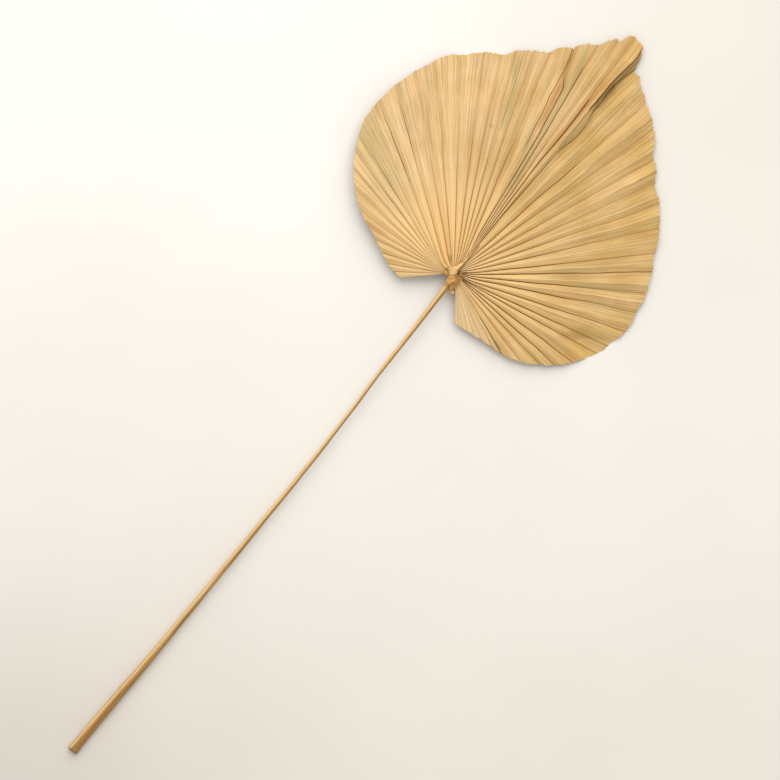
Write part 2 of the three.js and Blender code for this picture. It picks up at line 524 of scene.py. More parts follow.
    def brighten(self, colour: object, factor: object) -> bpy.types.NodeSocket:
        """Scale a colour's brightness.

        Args:
            colour: The colour or output.
            factor: The number or output that it is scaled by.

        Returns:
            The scaled colour's output.
        """
        node = self.nodes.new("ShaderNodeHueSaturation")
        self._feed(node.inputs["Value"], factor)
        self._feed(node.inputs["Color"], colour)
        return node.outputs["Color"]

    def finish(
        self, colour: object, height: object, depth: float, roughness: object | None = None
    ) -> bpy.types.Material:
        """Feed the shader.

        Args:
            colour: The surface's colour.
            height: The relief, from 0 to 1.
            depth: The relief's depth in metres.
            roughness: The roughness, where nodes set it.

        Returns:
            The finished material.
        """
        bump = self.nodes.new("ShaderNodeBump")
        bump.inputs["Distance"].default_value = depth
        self._feed(bump.inputs["Height"], height)
        self._feed(self.shader.inputs["Base Color"], colour)
        self.links.new(bump.outputs["Normal"], self.shader.inputs["Normal"])
        if roughness is not None:
            self._feed(self.shader.inputs["Roughness"], roughness)
        return self.material


@dataclass(frozen=True)
class PaperyFinish:
    """The dry papery fan: straw, with veins along the folds, stains, painted shade in the valleys and
    hollows, and pale ribs with a painted highlight.
    """

    straw: Colour = (0.745, 0.51, 0.26)
    ochre: Colour = (0.545, 0.345, 0.115)
    green: Colour = (0.40, 0.355, 0.15)
    brown: Colour = (0.46, 0.20, 0.05)
    pale: Colour = (0.84, 0.65, 0.385)
    gold: Colour = (0.87, 0.57, 0.23)
    shade: Colour = (0.09, 0.034, 0.004)
    roughness: float = 0.62
    specular: float = 0.12
    green_streaks: float = 0.24
    brown_streaks: float = 0.16
    green_stains: float = 0.85
    brown_stains: float = 0.9
    pale_stains: float = 0.8
    vein_range: tuple[float, float] = (0.83, 1.10)
    hair_range: tuple[float, float] = (0.90, 1.07)
    facet_range: tuple[float, float] = (0.95, 1.04)
    rib_and_highlight_strength: float = 0.38
    relief: float = 0.0006

    def material(self) -> bpy.types.Material:
        """Build the material.

        Returns:
            The finished material.
        """
        bench = Bench("papery_fan", self.roughness, self.specular)
        across, along = bench.attribute("across"), bench.attribute("along")
        streaks = self._grain(bench, across, along, 1.3, 0.018)
        veins = self._grain(bench, across, along, 6.5, 0.01)
        hairs = self._grain(bench, across, along, 15.0, 0.02)
        facet = bench.chance(bench.maths("FLOOR", bench.maths("ADD", across, 0.001)))
        colour = self._stained(bench, self._ground(bench, streaks), veins)
        colour = bench.brighten(colour, bench.span(veins, 0.36, 0.62, *self.vein_range))
        colour = bench.brighten(colour, bench.span(hairs, 0.36, 0.64, *self.hair_range))
        colour = bench.brighten(colour, bench.span(facet, 0.0, 1.0, *self.facet_range))
        colour = self._folded(bench, colour, streaks, veins)
        height = bench.maths("ADD", bench.product(veins, 0.75), bench.product(hairs, 0.25))
        return bench.finish(colour, height, self.relief, bench.span(veins, 0.3, 0.7, 0.72, 0.55))

    def _ground(self, bench: Bench, streaks: bpy.types.NodeSocket) -> bpy.types.NodeSocket:
        """Mix the sheet's own colour, older in places and streaked with green and brown.

        Args:
            bench: The material's bench.
            streaks: The broad streaks along the folds.

        Returns:
            The colour's output.
        """
        mottle = bench.noise(bench.place(), 22.0, 3, 0.55)
        aged = bench.maths("ADD", bench.attribute("aged"), bench.span(mottle, 0.3, 0.7, -0.25, 0.25))
        colour = bench.mix(aged, self.straw, self.ochre)
        colour = bench.mix(bench.span(streaks, 0.53, 0.72, 0.0, self.green_streaks), colour, self.green)
        return bench.mix(bench.span(streaks, 0.46, 0.28, 0.0, self.brown_streaks), colour, self.brown)

    def _stained(
        self, bench: Bench, colour: bpy.types.NodeSocket, veins: bpy.types.NodeSocket
    ) -> bpy.types.NodeSocket:
        """Lay the green, brown and pale stains, some of the brown being painted shade, broken up by the
        veins.

        Args:
            bench: The material's bench.
            colour: The colour under them.
            veins: The veins.

        Returns:
            The colour's output.
        """
        for tone, target, most in (
            (Tone.GREEN, self.green, self.green_stains),
            (Tone.BROWN, self.brown, self.brown_stains),
            (Tone.PALE, self.pale, self.pale_stains),
        ):
            broken = bench.span(veins, 0.3, 0.6, most, most * 0.6)
            colour = bench.mix(bench.product(bench.attribute(tone.value), broken), colour, target)
        return colour

    def _folded(
        self,
        bench: Bench,
        colour: bpy.types.NodeSocket,
        streaks: bpy.types.NodeSocket,
        veins: bpy.types.NodeSocket,
    ) -> bpy.types.NodeSocket:
        """Colour the folds: golden near the hub, painted brown shade in the hollows, pale ribs with a painted
        highlight, painted shade in the creases and along the dark lines, and the painted shade of the dark
        tone.

        Args:
            bench: The material's bench.
            colour: The colour under them.
            streaks: The broad streaks, which break up the pale ribs and their painted highlight.
            veins: The veins, which break up the painted shade in the creases.

        Returns:
            The colour's output.
        """
        colour = bench.mix(bench.attribute("gold"), colour, self.gold)
        # Painted shade in the fold hollows: brown where the sheet sinks towards a valley.
        hollow = bench.span(bench.attribute("rise"), 0.0, 0.48, 1.0, 0.0)
        colour = bench.mix(bench.product(hollow, bench.attribute("hollow_shade")), colour, self.brown)
        # Pale ribs along the crests, with a painted highlight on them.
        rib_and_highlight = bench.span(bench.attribute("crest"), 0.1, 0.95, self.rib_and_highlight_strength, 0.0)
        colour = bench.mix(bench.product(rib_and_highlight, bench.span(streaks, 0.3, 0.6, 0.45, 1.0)), colour, self.pale)
        # Painted shade in the creases along the valleys.
        crease_shade = bench.span(bench.attribute("valley"), 0.1, 1.0, 1.0, 0.0)
        crease_shade = bench.product(crease_shade, bench.attribute("crease_shade"))
        colour = bench.mix(bench.product(crease_shade, bench.span(veins, 0.3, 0.6, 0.6, 1.0)), colour, self.shade)
        # Thin lines of painted shade along chosen folds.
        line = bench.span(bench.attribute("line"), 0.15, 0.85, 1.0, 0.0)
        colour = bench.mix(bench.product(line, bench.attribute("line_shade")), colour, self.shade)
        # The dark tone is painted shade.
        return bench.mix(bench.attribute(Tone.DARK.value), colour, self.shade)

    @staticmethod
    def _grain(
        bench: Bench, across: bpy.types.NodeSocket, along: bpy.types.NodeSocket, fine: float, short: float
    ) -> bpy.types.NodeSocket:
        """Give noise drawn out along the folds.

        Args:
            bench: The material's bench.
            across: The place across the fan, counted in facets.
            along: The distance from the hub in millimetres.
            fine: How many lines a facet has.
            short: How many swells a millimetre of each line has.

        Returns:
            The pattern's output.
        """
        where = bench.vector(bench.product(across, fine), bench.product(along, short))
        return bench.noise(where, 1.0, 3, 0.6)


@dataclass(frozen=True)
class WoodyFinish:
    """The smooth stalk: golden brown at the cut end, paler and yellower further up, with fine fibres, painted
    shade on the side away from the light and a painted highlight along its ridge.
    """

    golden: Colour = (0.58, 0.32, 0.10)
    tan: Colour = (0.72, 0.44, 0.17)
    straw: Colour = (0.80, 0.52, 0.23)
    shaded: Colour = (0.27, 0.14, 0.03)
    amber: Colour = (0.56, 0.29, 0.08)
    pale: Colour = (0.86, 0.64, 0.34)
    dark: Colour = (0.22, 0.11, 0.035)
    roughness: float = 0.45
    specular: float = 0.3
    lee_shade_strength: float = 0.72
    ridge_highlight_strength: float = 0.7
    relief: float = 0.0004

    def material(self) -> bpy.types.Material:
        """Build the material.

        Returns:
            The finished material.
        """
        bench = Bench("woody_stalk", self.roughness, self.specular)
        along, around = bench.attribute("along"), bench.attribute("around")
        fibres = bench.vector(bench.product(around, 14.0), bench.product(along, 0.014))
        fibres = bench.noise(fibres, 1.0, 4, 0.6)
        patches = bench.noise(bench.vector(around, bench.product(along, 0.03)), 1.0, 3, 0.6)
        bands = bench.noise(bench.vector(bench.product(around, 4.0), bench.product(along, 0.02)), 1.0, 2, 0.5)
        colour = bench.mix(bench.span(along, -640.0, -430.0, 0.0, 1.0), self.golden, self.tan)
        colour = bench.mix(bench.span(along, -420.0, -250.0, 0.0, 1.0), colour, self.straw)
        colour = bench.mix(bench.span(along, -14.0, -11.0, 0.0, 0.9), colour, self.amber)
        colour = bench.mix(bench.span(patches, 0.5, 0.7, 0.0, 0.45), colour, self.golden)
        # Painted shade on the stalk's side away from the light.
        colour = bench.mix(bench.product(bench.attribute("lee_shade"), self.lee_shade_strength), colour, self.shaded)
        colour = bench.brighten(colour, bench.span(fibres, 0.3, 0.7, 0.8, 1.16))
        colour = bench.brighten(colour, bench.span(bands, 0.38, 0.62, 0.78, 1.16))
        # Painted highlight along the stalk's ridge.
        colour = bench.mix(bench.product(bench.attribute("ridge_highlight"), self.ridge_highlight_strength), colour, self.pale)
        # The dark cut end, and painted shade in the crevice where the stalk meets the neck.
        colour = bench.mix(bench.attribute("dark"), colour, self.dark)
        return bench.finish(colour, fibres, self.relief, bench.span(fibres, 0.3, 0.7, 0.55, 0.38))


@dataclass(frozen=True)
class FibrousFinish:
    """The torn tissue round the top of the stalk, and the painted shade in the gap there, in one tint with
    darker strands.
    """

    name: str
    light: Colour
    deep: Colour
    grain: float
    stretched: tuple[float, float, float] = (1.0, 0.35, 1.0)
    roughness: float = 0.6
    specular: float = 0.15
    relief: float = 0.0004

    def material(self) -> bpy.types.Material:
        """Give the material, which is built once.

        Returns:
            The finished material.
        """
        made = bpy.data.materials.get(self.name)
        if made is not None:
            return made
        bench = Bench(self.name, self.roughness, self.specular)
        place = bench.mapped(self.stretched, 0.0)
        strands = bench.noise(place, self.grain, 4, 0.65)
        patches = bench.noise(place, self.grain * 0.2, 2, 0.5)
        colour = bench.mix(bench.span(strands, 0.35, 0.65, 0.0, 1.0), self.light, self.deep)
        colour = bench.brighten(colour, bench.span(patches, 0.3, 0.7, 0.85, 1.12))
        return bench.finish(colour, strands, self.relief)


@dataclass(frozen=True)
class FloorFinish:
    """A matt pale floor with the lamps' fall-off painted in: darker towards the picture's lower left and
    right.
    """

    light: Colour = (0.85, 0.835, 0.80)
    deep: Colour = (0.73, 0.69, 0.63)
    deepest: Colour = (0.64, 0.60, 0.545)
    roughness: float = 0.9
    specular: float = 0.1
    picture_turn: float = -38.5
    relief: float = 0.0002

    def material(self) -> bpy.types.Material:
        """Build the material.

        Returns:
            The finished material.
        """
        bench = Bench("pale_floor", self.roughness, self.specular)
        parts = bench.nodes.new("ShaderNodeSeparateXYZ")
        bench.links.new(bench.mapped((1.0, 1.0, 1.0), self.picture_turn), parts.inputs["Vector"])
        right, up = parts.outputs["X"], parts.outputs["Y"]
        clouds = bench.noise(bench.place(), 5.0, 2, 0.5)
        # Painted fall-off of the light: darker towards the bottom, the upper right and the lower left.
        colour = bench.mix(bench.span(up, 0.45, -0.55, 0.0, 1.0), self.light, self.deep)
        corner = bench.product(bench.span(right, -0.1, 0.5, 0.0, 0.9), bench.span(up, -0.25, 0.35, 0.0, 1.0))
        colour = bench.mix(corner, colour, self.deep)
        left = bench.span(right, 0.05, -0.4, 0.0, 1.0)
        corner = bench.product(left, bench.span(up, -0.15, -0.45, 0.0, 1.0))
        colour = bench.mix(corner, colour, self.deepest)
        colour = bench.brighten(colour, bench.span(clouds, 0.3, 0.7, 0.985, 1.01))
        return bench.finish(colour, clouds, self.relief)


@dataclass(frozen=True)
class Stain:
    """One stain or band of painted shade on the fan, which runs along a path of (distance, angle) knots."""

    tone: Tone
    path: Knots
    width: float
    strength: float = 1.0
    fade: float = 12.0

    def cover(self, radius: np.ndarray, angle: np.ndarray) -> np.ndarray:
        """Give how much of the stain each point has.

        Args:
            radius: Distances from the hub in millimetres.
            angle: Angles in degrees.

        Returns:
            Shares from 0 to the stain's strength.
        """
        off = radius * np.radians(angle - Curve(self.path)(radius))
        first, last = self.path[0][0], self.path[-1][0]
        ends = stretch(radius, first - self.fade, first, last, last + self.fade)
        return self.strength * np.exp(-((off / self.width) ** 2)) * ends


@dataclass(frozen=True)
class Line:
    """A thin line of painted shade along one fold, from one distance to another."""

    fold: float
    start: float
    end: float
    strength: float
    fade: float = 14.0
    breadth: float = 1.0

    def depth(self, radius: np.ndarray) -> np.ndarray:
        """Give how dark the line is at distances from the hub."""
        ends = stretch(radius, self.start - self.fade, self.start, self.end, self.end + self.fade)
        return self.strength * ends


@dataclass(frozen=True)
class Slit:
    """A split along one fold, from one distance to another, with its sides apart or one over the other."""

    fold: float
    start: float
    end: float
    width: float
    step: float = 0.0
    tuck: float = 0.0


@dataclass(frozen=True)
class Unevenness:
    """Smooth random unevenness along the folds, each of which is read at a row of its own."""

    strength: float
    length: float
    row_step: float
    seed: Draw
    first_row: float = 0.0

    def at(self, away: np.ndarray, count: np.ndarray) -> np.ndarray:
        """Read it at distances in millimetres along folds that are counted."""
        rows = count * self.row_step + self.first_row
        return self.strength * ripple(away / self.length, rows, self.seed)


@dataclass(frozen=True)
class Columns:
    """The fan's grid by column: the fold before it, its share of the facet, its split, and its angles.

    The side is -1 on a split's left and 1 on its right. The split is -1 where there is none.
    """

    fold: np.ndarray
    share: np.ndarray
    split: np.ndarray
    side: np.ndarray
    fold_angle: np.ndarray
    angle: np.ndarray


STAINS = (
    Stain(Tone.GREEN, ((175, -19.8), (205, -20.3), (247, -22.3)), 3.2, 0.8),
    Stain(Tone.GREEN, ((120, -6.2), (219, -6.9), (263, -7.4), (285, -8.2)), 2.4, 0.9),
    Stain(Tone.GREEN, ((170, -56), (222, -54.5)), 6.0, 0.45),
    Stain(Tone.GREEN, ((160, -72), (192, -71.5)), 9.0, 0.45),
    Stain(Tone.GREEN, ((100, -97), (122, -95.5)), 4.0, 0.4),
    Stain(Tone.GREEN, ((140, 56), (208, 56.5)), 4.0, 0.6),
    Stain(Tone.GREEN, ((95, 49), (165, 49.5)), 3.5, 0.45),
    Stain(Tone.GREEN, ((150, 62.3), (204, 63.5)), 4.5, 0.6),
    Stain(Tone.GREEN, ((165, 74.5), (190, 75)), 5.0, 0.6),
    Stain(Tone.GREEN, ((45, 38.5), (110, 38.5)), 2.0, 0.35),
    Stain(Tone.GREEN, ((115, 96), (140, 96)), 5.0, 0.4),
    Stain(Tone.GREEN, ((165, 1.2), (205, 1.9), (228, 2.8)), 2.6, 0.8),
    Stain(Tone.GREEN, ((238, 1.6), (256, 1.4), (278, 1.6), (306, 2.1)), 2.4, 0.8),
    Stain(Tone.GREEN, ((110, -72), (190, -68)), 20.0, 0.5, 30.0),
    Stain(Tone.GREEN, ((60, 3), (150, 3)), 3.0, 0.45),
    # Painted shade: the orange-brown line on the shaded facet inside the strip.
    Stain(
        Tone.BROWN,
        ((185, -0.9), (208, -0.9), (223, -0.65), (235, -0.73), (250, -0.46), (263, -0.26)),
        1.7,
        1.0,
    ),
    Stain(Tone.BROWN, ((150, -1.5), (219, -0.95), (290, -0.2)), 4.0, 0.35),
    # Brown stain with painted shade, on the facet beside the overhanging fold.
    Stain(Tone.BROWN, ((195, -8.8), (236, -9.1), (270, -10.3)), 3.8, 0.6),
    Stain(Tone.BROWN, ((125, 60), (165, 59.4)), 4.5, 0.4),
    Stain(Tone.BROWN, ((60, 46), (90, 46)), 2.5, 0.4),
    # Painted shade along the valley at -76.6 degrees.
    Stain(Tone.BROWN, ((40, -76.6), (64, -76.6)), 1.5, 0.8),
    Stain(Tone.BROWN, ((94, -98), (110, -97)), 5.0, 0.6),
    Stain(Tone.BROWN, ((26, -1), (56, -1)), 2.4, 0.55, 8.0),
    Stain(Tone.BROWN, ((196, -63.5), (210, -63)), 6.0, 0.5),
    Stain(Tone.BROWN, ((208, -30), (250, -30)), 7.0, 0.2),
    Stain(Tone.BROWN, ((120, -28), (200, -26)), 6.0, 0.25),
    Stain(Tone.BROWN, ((90, 106), (104, 107)), 6.0, 0.35),
    Stain(Tone.BROWN, ((169.5, -24.3), (170.5, -24.3)), 4.0, 0.6, 2.5),
    # Brown stain with painted shade, on the facet beside the overhanging fold.
    Stain(Tone.BROWN, ((196, -8.9), (236, -9.2)), 2.6, 0.5),
    Stain(Tone.PALE, ((20, 134), (60, 137)), 9.0, 0.5),
    Stain(Tone.PALE, ((25, 124), (80, 122)), 16.0, 0.45, 15.0),
    Stain(Tone.PALE, ((20, -126), (60, -127)), 8.0, 0.5),
    Stain(Tone.PALE, ((60, -38.6), (215, -38.8)), 2.0, 0.55),
    # Painted shade, not stains: the split's open end, under the strip's edge, round the crumple, and a
    # crevice between pleats near the hub.
    Stain(Tone.DARK, ((86, 108.6), (93, 108.8)), 1.1, 0.6, 3.0),
    Stain(Tone.DARK, ((246, 1.25), (268, 1.35), (286, 1.75), (310, 2.1)), 0.8, 0.6, 5.0),
    Stain(Tone.DARK, ((242, 2.3), (262, 2.4), (280, 2.9)), 1.2, 0.35, 5.0),
    Stain(Tone.DARK, ((183, 1.9), (207, 2.86), (223, 2.7), (233, 2.3)), 1.8, 0.25, 8.0),
    Stain(Tone.DARK, ((17, -47), (22, -47)), 0.8, 0.55, 4.0),
)

# Lines of painted shade: in the valleys, in the splits, and under the strip's edge and the crumple beside it.
LINES = (
    Line(1.2, 238, 322, 1.0, 6.0, 1.7),
    Line(2.2, 236, 312, 0.95, 6.0, 1.7),
    Line(2.2, 50, 160, 0.9, 14.0, 1.4),
    Line(2.2, 188, 215, 0.75, 8.0),
    Line(-0.9, 60, 236, 1.0, 14.0, 1.4),
    Line(-3.4, 45, 170, 0.85, 14.0, 1.2),
    Line(-6.2, 60, 262, 0.85, 14.0, 1.3),
    Line(-8.8, 45, 240, 0.9, 14.0, 1.4),
    Line(-10.6, 170, 300, 0.8, 20.0, 1.2),
    Line(9.3, 50, 180, 0.75),
    Line(12.4, 196, 282, 0.6),
    Line(23.3, 230, 258, 0.5, 6.0),
    Line(50.8, 168, 222, 0.6),
    Line(-20.7, 180, 250, 0.55),
    Line(-55.1, 136, 190, 0.85, 14.0, 0.7),
    Line(-61.3, 118, 184, 0.85, 14.0, 0.7),
    Line(-71.7, 102, 152, 0.8, 14.0, 0.7),
    Line(-76.9, 92, 135, 0.8, 14.0, 0.7),
    Line(108.5, 58, 140, 1.0, 8.0, 1.7),
)

SLITS = (
    Slit(-55.1, 136, 190, 0.25, 0.3),
    Slit(-61.3, 118, 184, 0.3, 0.35),
    Slit(-71.7, 102, 152, 0.3, 0.3),
    Slit(-76.9, 92, 135, 0.3, 0.3),
    Slit(108.5, 62, 140, 0.6, 0.9),
    Slit(1.2, 178, 400, 0.6, 2.2, 3.0),
)


@dataclass
class Fan:
    """The pleated fan: its folds, outline, height over the floor, splits, stains and finish."""

    fan_start: float = -130.0
    left_pleats: Knots = ((-103, 4), (-61.3, 8), (-30.5, 5), (-14.9, 4))
    middle_folds: tuple[float, ...] = (-10.6, -8.8, -7.3, -6.2, -4.8, -3.4, -2.2, -0.9, 1.2, 2.2, 6.0, 9.3)
    right_pleats: Knots = ((92.3, 14), (108.5, 3), (140, 7))
    fold_wander: float = 0.32
    depth_wander: float = 0.2
    slopes: tuple[float, float] = (50.0, 12.5)
    open_by: float = 0.7
    opening_power: float = 1.8
    least_depth: float = 0.8
    hub_height: float = 16.0
    droop: float = 1.4
    feet: tuple[float, float] = (-30.5, 78.3)
    foot_reach: float = 4.5
    foot_from: float = 0.74
    foot_flattening: float = 2.8
    strip: tuple[float, float] = (-6.2, 1.2)
    strip_rise: float = 3.4
    strip_root: float = 0.45
    crumple_depth: float = 1.8
    crumple_length: float = 7.0
    crumple_angles: tuple[float, float, float, float] = (1.15, 1.5, 2.6, 4.0)
    crumple_radii: tuple[float, float, float, float] = (225.0, 250.0, 300.0, 312.0)
    slit_taper: float = 18.0
    thickness: float = 0.45
    clearance: float = 0.05
    headroom: float = 3.0
    sharp_from: float = 7.0
    between: int = 5
    rows: int = 90
    crowding: float = 1.3
    dome: tuple[float, float] = (-3.6, 6.3)
    dome_radius: float = 5.0
    curl_reach: float = 5.0
    rim_from: float = 0.955
    rim_rows: int = 5
    sideways: tuple[Unevenness, ...] = (
        Unevenness(0.075, 36.0, 0.61, Draw.WANDER),
        Unevenness(0.035, 11.0, 1.37, Draw.WANDER, 40.0),
    )
    depth_swell: Unevenness = Unevenness(0.16, 42.0, 0.83, Draw.SWELL)
    surface_lift: Unevenness = Unevenness(0.8, 65.0, 0.21, Draw.LIFT)
    facet_bulge: Unevenness = Unevenness(0.03, 55.0, 7.3, Draw.BULGE)
    hub_glow: tuple[float, float] = (150.0, 30.0)
    hub_stain: tuple[float, float] = (10.0, 50.0)
    hub_freshness: float = 0.3
    dark_reach: tuple[float, float] = (60.0, 190.0)
    left_lobe: tuple[float, float] = (-45.0, -60.0)
    left_dark_loss: float = 60.0
    # How strong the painted shade in the valleys is at the rim and near the hub.
    rim_crease_shade: float = 0.5
    hub_crease_shade: float = 0.85
    # How strong the painted shade in the fold hollows is at the rim and near the hub, and where it fades on
    # the right and the left.
    rim_hollow_shade: float = 0.2
    hub_hollow_shade: float = 0.4
    pale_right: tuple[float, float, float] = (0.75, 104.0, 116.0)
    pale_left: tuple[float, float, float] = (0.4, -20.0, -35.0)
    rim: Curve = Curve((
        (-130, 59), (-124, 66), (-108, 86), (-98, 109), (-88, 141), (-66, 202), (-52, 227), (-38, 244),
        (-26, 252), (-18, 267), (-10, 290), (-5, 307), (-1, 330), (1.2, 326), (2, 309), (6, 294), (14, 275),
        (26, 248), (44, 226), (56, 214), (68, 200), (80, 177), (98, 134), (112, 92), (122, 69), (140, 51),
    ))
    nicks: Curve = Curve((
        (-108, -1.5), (-103, -2.5), (-99, -4), (-97, -1), (-92, 0.5), (-88, -1), (-80, -1), (-70, -0.5),
        (-55, -3), (-47, -3), (-44, -1.5), (-40, 0), (-36, -1.5), (-31, 0.5), (-26, -3), (-22, 1.2),
        (-19, -2), (-15.5, -6), (-14, -2), (-12, -1), (-10.6, -5), (-9.6, -9), (-8.8, -8.5), (-8.2, -5.5),
        (-7.5, -4.5), (-6, -2.5), (-4.9, 3.5), (-4.1, 3.5), (-3.2, -4), (-2, 0.5), (2, -1), (3, -4),
        (4, -1), (5, -3), (6.2, -2), (7.5, 0.5), (9, -1), (12, 1), (14, -1), (17, 2), (20, -3), (24, -2.5),
        (28, -3), (30, -0.5), (44, -1), (46.5, -4), (50, -1.5), (53, -2.5), (57, -0.5), (61, -2.5),
        (70, -1), (75, -1.5), (78, 0.5), (86, 0), (93, -1.5), (97, -1.5), (104, -0.5), (106.5, 0.5),
        (108.5, -3.5), (110, -1.5), (111, 0.5), (112.5, -3), (115, -1.5), (117, -2.5), (122, -0.5),
        (126, -2), (138, 0),
    ))
    rim_wander: Curve = Curve((
        (-130, 0.3), (-60, 0.6), (-36, 1.1), (-24, 1.6), (-4, 1.0), (3, 0.8), (14, 1.0), (44, 0.8),
        (70, 0.5),
    ))
    teeth: Curve = Curve((
        (-130, 0.4), (-70, 0.5), (-40, 0.9), (-20, 1.3), (0, 1.0), (3, 3.0), (13, 3.0), (20, 1.8),
        (45, 1.0), (70, 0.6), (140, 0.5),
    ))
    relief: Curve = Curve((
        (-130, 0.9), (-98, 0.75), (-80, 0.55), (-64, 0.65), (-50, 1.3), (-12, 1.15), (3, 0.8), (20, 0.75),
        (60, 0.85), (100, 0.9), (108, 0.7), (118, 0.4), (140, 0.3),
    ))
    rim_height: Curve = Curve((
        (-130, 12), (-100, 16), (-78, 17), (-58, 11), (-44, 6), (-36, 3.4), (-30.5, 2), (-25, 3.4),
        (-18, 5.5), (0, 5.5), (40, 5), (60, 4.6), (70, 3.4), (78.3, 2), (86, 4.2), (96, 7), (115, 9),
        (140, 10),
    ))
    root_x: Curve = Curve((
        (-130, -9.5), (-116, -10.5), (-103, -12), (-85, -12.5), (-60, -12.5), (-50, -12), (-44, -11),
        (-38, -9), (-30, -6.5), (-20, -2), (-12, -0.8), (-5, -1), (0, -1), (5, 0), (12, 1.5), (20, 3),
        (30, 5.5), (38, 7), (45, 8.2), (60, 9), (75, 9.4), (90, 9.5), (108, 10), (125, 10.2), (140, 9.8),
    ))
    root_y: Curve = Curve((
        (-130, -4.5), (-116, -3.8), (-103, -2.8), (-85, -2.5), (-60, -1.5), (-50, 7), (-44, 10.5),
        (-38, 12.5), (-30, 14.5), (-20, 15.8), (-12, 16), (0, 16.6), (12, 16.3), (20, 15.5), (30, 13.5),
        (38, 11.5), (45, 10), (60, 7), (75, 3.2), (90, 2.7), (108, -1.5), (125, -5), (140, -7.5),
    ))
    # How strong the painted shade in the valleys is, by angle.
    crease_shade: Curve = Curve((
        (-130, 0.5), (-109, 0.8), (-90, 0.5), (-75, 0.5), (-60, 0.5), (-30, 0.7), (-15, 0.9), (0, 1.0),
        (10, 0.9), (30, 0.8), (40, 1.0), (55, 1.15), (92, 1.1), (98, 0.55), (108, 0.45), (118, 0.2),
        (140, 0.15),
    ))
    hub_brown: Curve = Curve((
        (-130, 0.6), (-100, 0.4), (-60, 0.3), (-20, 0.35), (0, 0.45), (30, 0.5), (60, 0.75), (105, 0.7),
        (118, 0.3), (140, 0.2),
    ))
    gold: Curve = Curve((
        (-130, 0.2), (-90, 0.45), (-60, 0.7), (-20, 0.75), (0, 0.5), (20, 0.4), (60, 0.45), (100, 0.4),
        (116, 0.1), (140, 0.1),
    ))
    line_reach: Curve = Curve((
        (-130, 0.7), (-90, 0.65), (-40, 0.7), (-10, 0.65), (30, 0.7), (48, 0.95), (92, 1.0), (100, 0.65),
        (140, 0.6),
    ))
    aged: Curve = Curve((
        (-130, 0.4), (-100, 0.35), (-75, 0.1), (-45, 0.15), (-20, 0.45), (-5, 0.55), (4, 0.8), (30, 0.75),
        (60, 0.65), (95, 0.85), (108, 0.5), (120, 0.1), (140, 0.15),
    ))
    own_paths: dict[float, Curve] = field(default_factory=lambda: {
        -10.6: Curve((
            (25, -5), (60, -8.5), (100, -9.2), (150, -9.6), (186, -10), (252, -10.3), (284, -10.9),
        )),
        -8.8: Curve((
            (20, -3), (35, -6), (66, -7.2), (164, -7.2), (197, -7.6), (236, -8.1), (254, -9.7),
            (288, -10.5),
        )),
        -7.3: Curve(((30, -4.5), (66, -6.3), (164, -6.6), (236, -7.1), (262, -7.6), (295, -8.6))),
        -6.2: Curve((
            (30, -4), (66, -5.1), (120, -5.3), (164, -5.7), (219, -6.2), (261, -6.5), (303, -6.6),
        )),
        -0.9: Curve((
            (50, -1.8), (99, -1.8), (142, -1.7), (175, -1.2), (219, -0.8), (274, -1.1), (330, -1.1),
        )),
        1.2: Curve((
            (45, -1.2), (80, -0.8), (120, -0.3), (164, 0.2), (200, 0.6), (247, 0.9), (291, 1.2),
            (306, 1.55), (326, 1.3),
        )),
        2.2: Curve((
            (45, -0.6), (80, 0), (120, 0.8), (164, 1.6), (185, 1.9), (207, 2.85), (223, 2.7), (239, 1.95),
            (269, 1.9), (302, 2.5),
        )),
        108.5: Curve(((15, 106.5), (40, 108), (58, 108.4), (80, 109.1), (95, 109.6), (110, 110))),
    })
    own_depths: dict[float, float] = field(default_factory=lambda: {
        -14.9: 1.3, -10.6: 1.0, -8.8: 1.2, -7.3: 1.2, -6.2: 1.6, -0.9: 1.7, 2.2: 1.2,
    })

    _column: np.ndarray = field(init=False, repr=False)
    _row: np.ndarray = field(init=False, repr=False)

    def _even_folds(self, start: float, stretches: Knots) -> list[float]:
        """Give the folds of some stretches of even pleats.

        Args:
            start: The angle that the first stretch starts at.
            stretches: The angle that each ends at, and the pleats in it.

        Returns:
            The folds' angles, without the start.
        """
        found: list[float] = []
        last = start
        for end, pleats in stretches:
            facet = (end - last) / pleats / 2
            for i in range(1, 2 * int(pleats) + 1):
                loose = self.fold_wander if i < 2 * pleats else 0.0
                shift = facet * loose * float(draw(len(found) + start, Draw.ANGLE))
                found.append(last + facet * i + shift)
            last = end
        return found

    def fold_angles(self) -> np.ndarray:
        """Count out the folds, valleys and crests by turns.

        Returns:
            Each fold's angle at the rim.
        """
        left = self._even_folds(self.fan_start, self.left_pleats)
        right = self._even_folds(self.middle_folds[-1], self.right_pleats)
        return np.array([self.fan_start, *left, *self.middle_folds, *right])

    def _lines(self, angles: np.ndarray, shares: np.ndarray) -> tuple[np.ndarray, np.ndarray]:
        """Lay each fold's line from the hub to the rim.

        Args:
            angles: The folds' angles at the rim.
            shares: The rows' shares of the way out.

        Returns:
            Points by fold and row, and each fold's length from its root.
        """
        rims = self.rim(angles) + self.rim_wander(angles) * draw(np.arange(len(angles)), Draw.RIM)
        roots = np.stack([self.root_x(angles), self.root_y(angles)], -1)
        ends = polar(rims, angles)
        points = roots[:, None] + (ends - roots)[:, None] * shares[None, :, None]
        for i, angle in enumerate(angles):
            path = self.own_paths.get(round(float(angle), 3))
            if path is not None:
                radius = np.hypot(*points[i].T)
                points[i] = polar(radius, path(radius))
        lengths = np.linalg.norm(ends - roots, axis=1)
        middle = np.array(self.dome)
        towards = roots - middle
        starts = middle + towards / np.linalg.norm(towards, axis=1, keepdims=True) * self.dome_radius
        away = lengths[:, None] * shares[None, :]
        points += (starts - roots)[:, None] * np.exp(-away / self.curl_reach)[..., None]
        return points, lengths

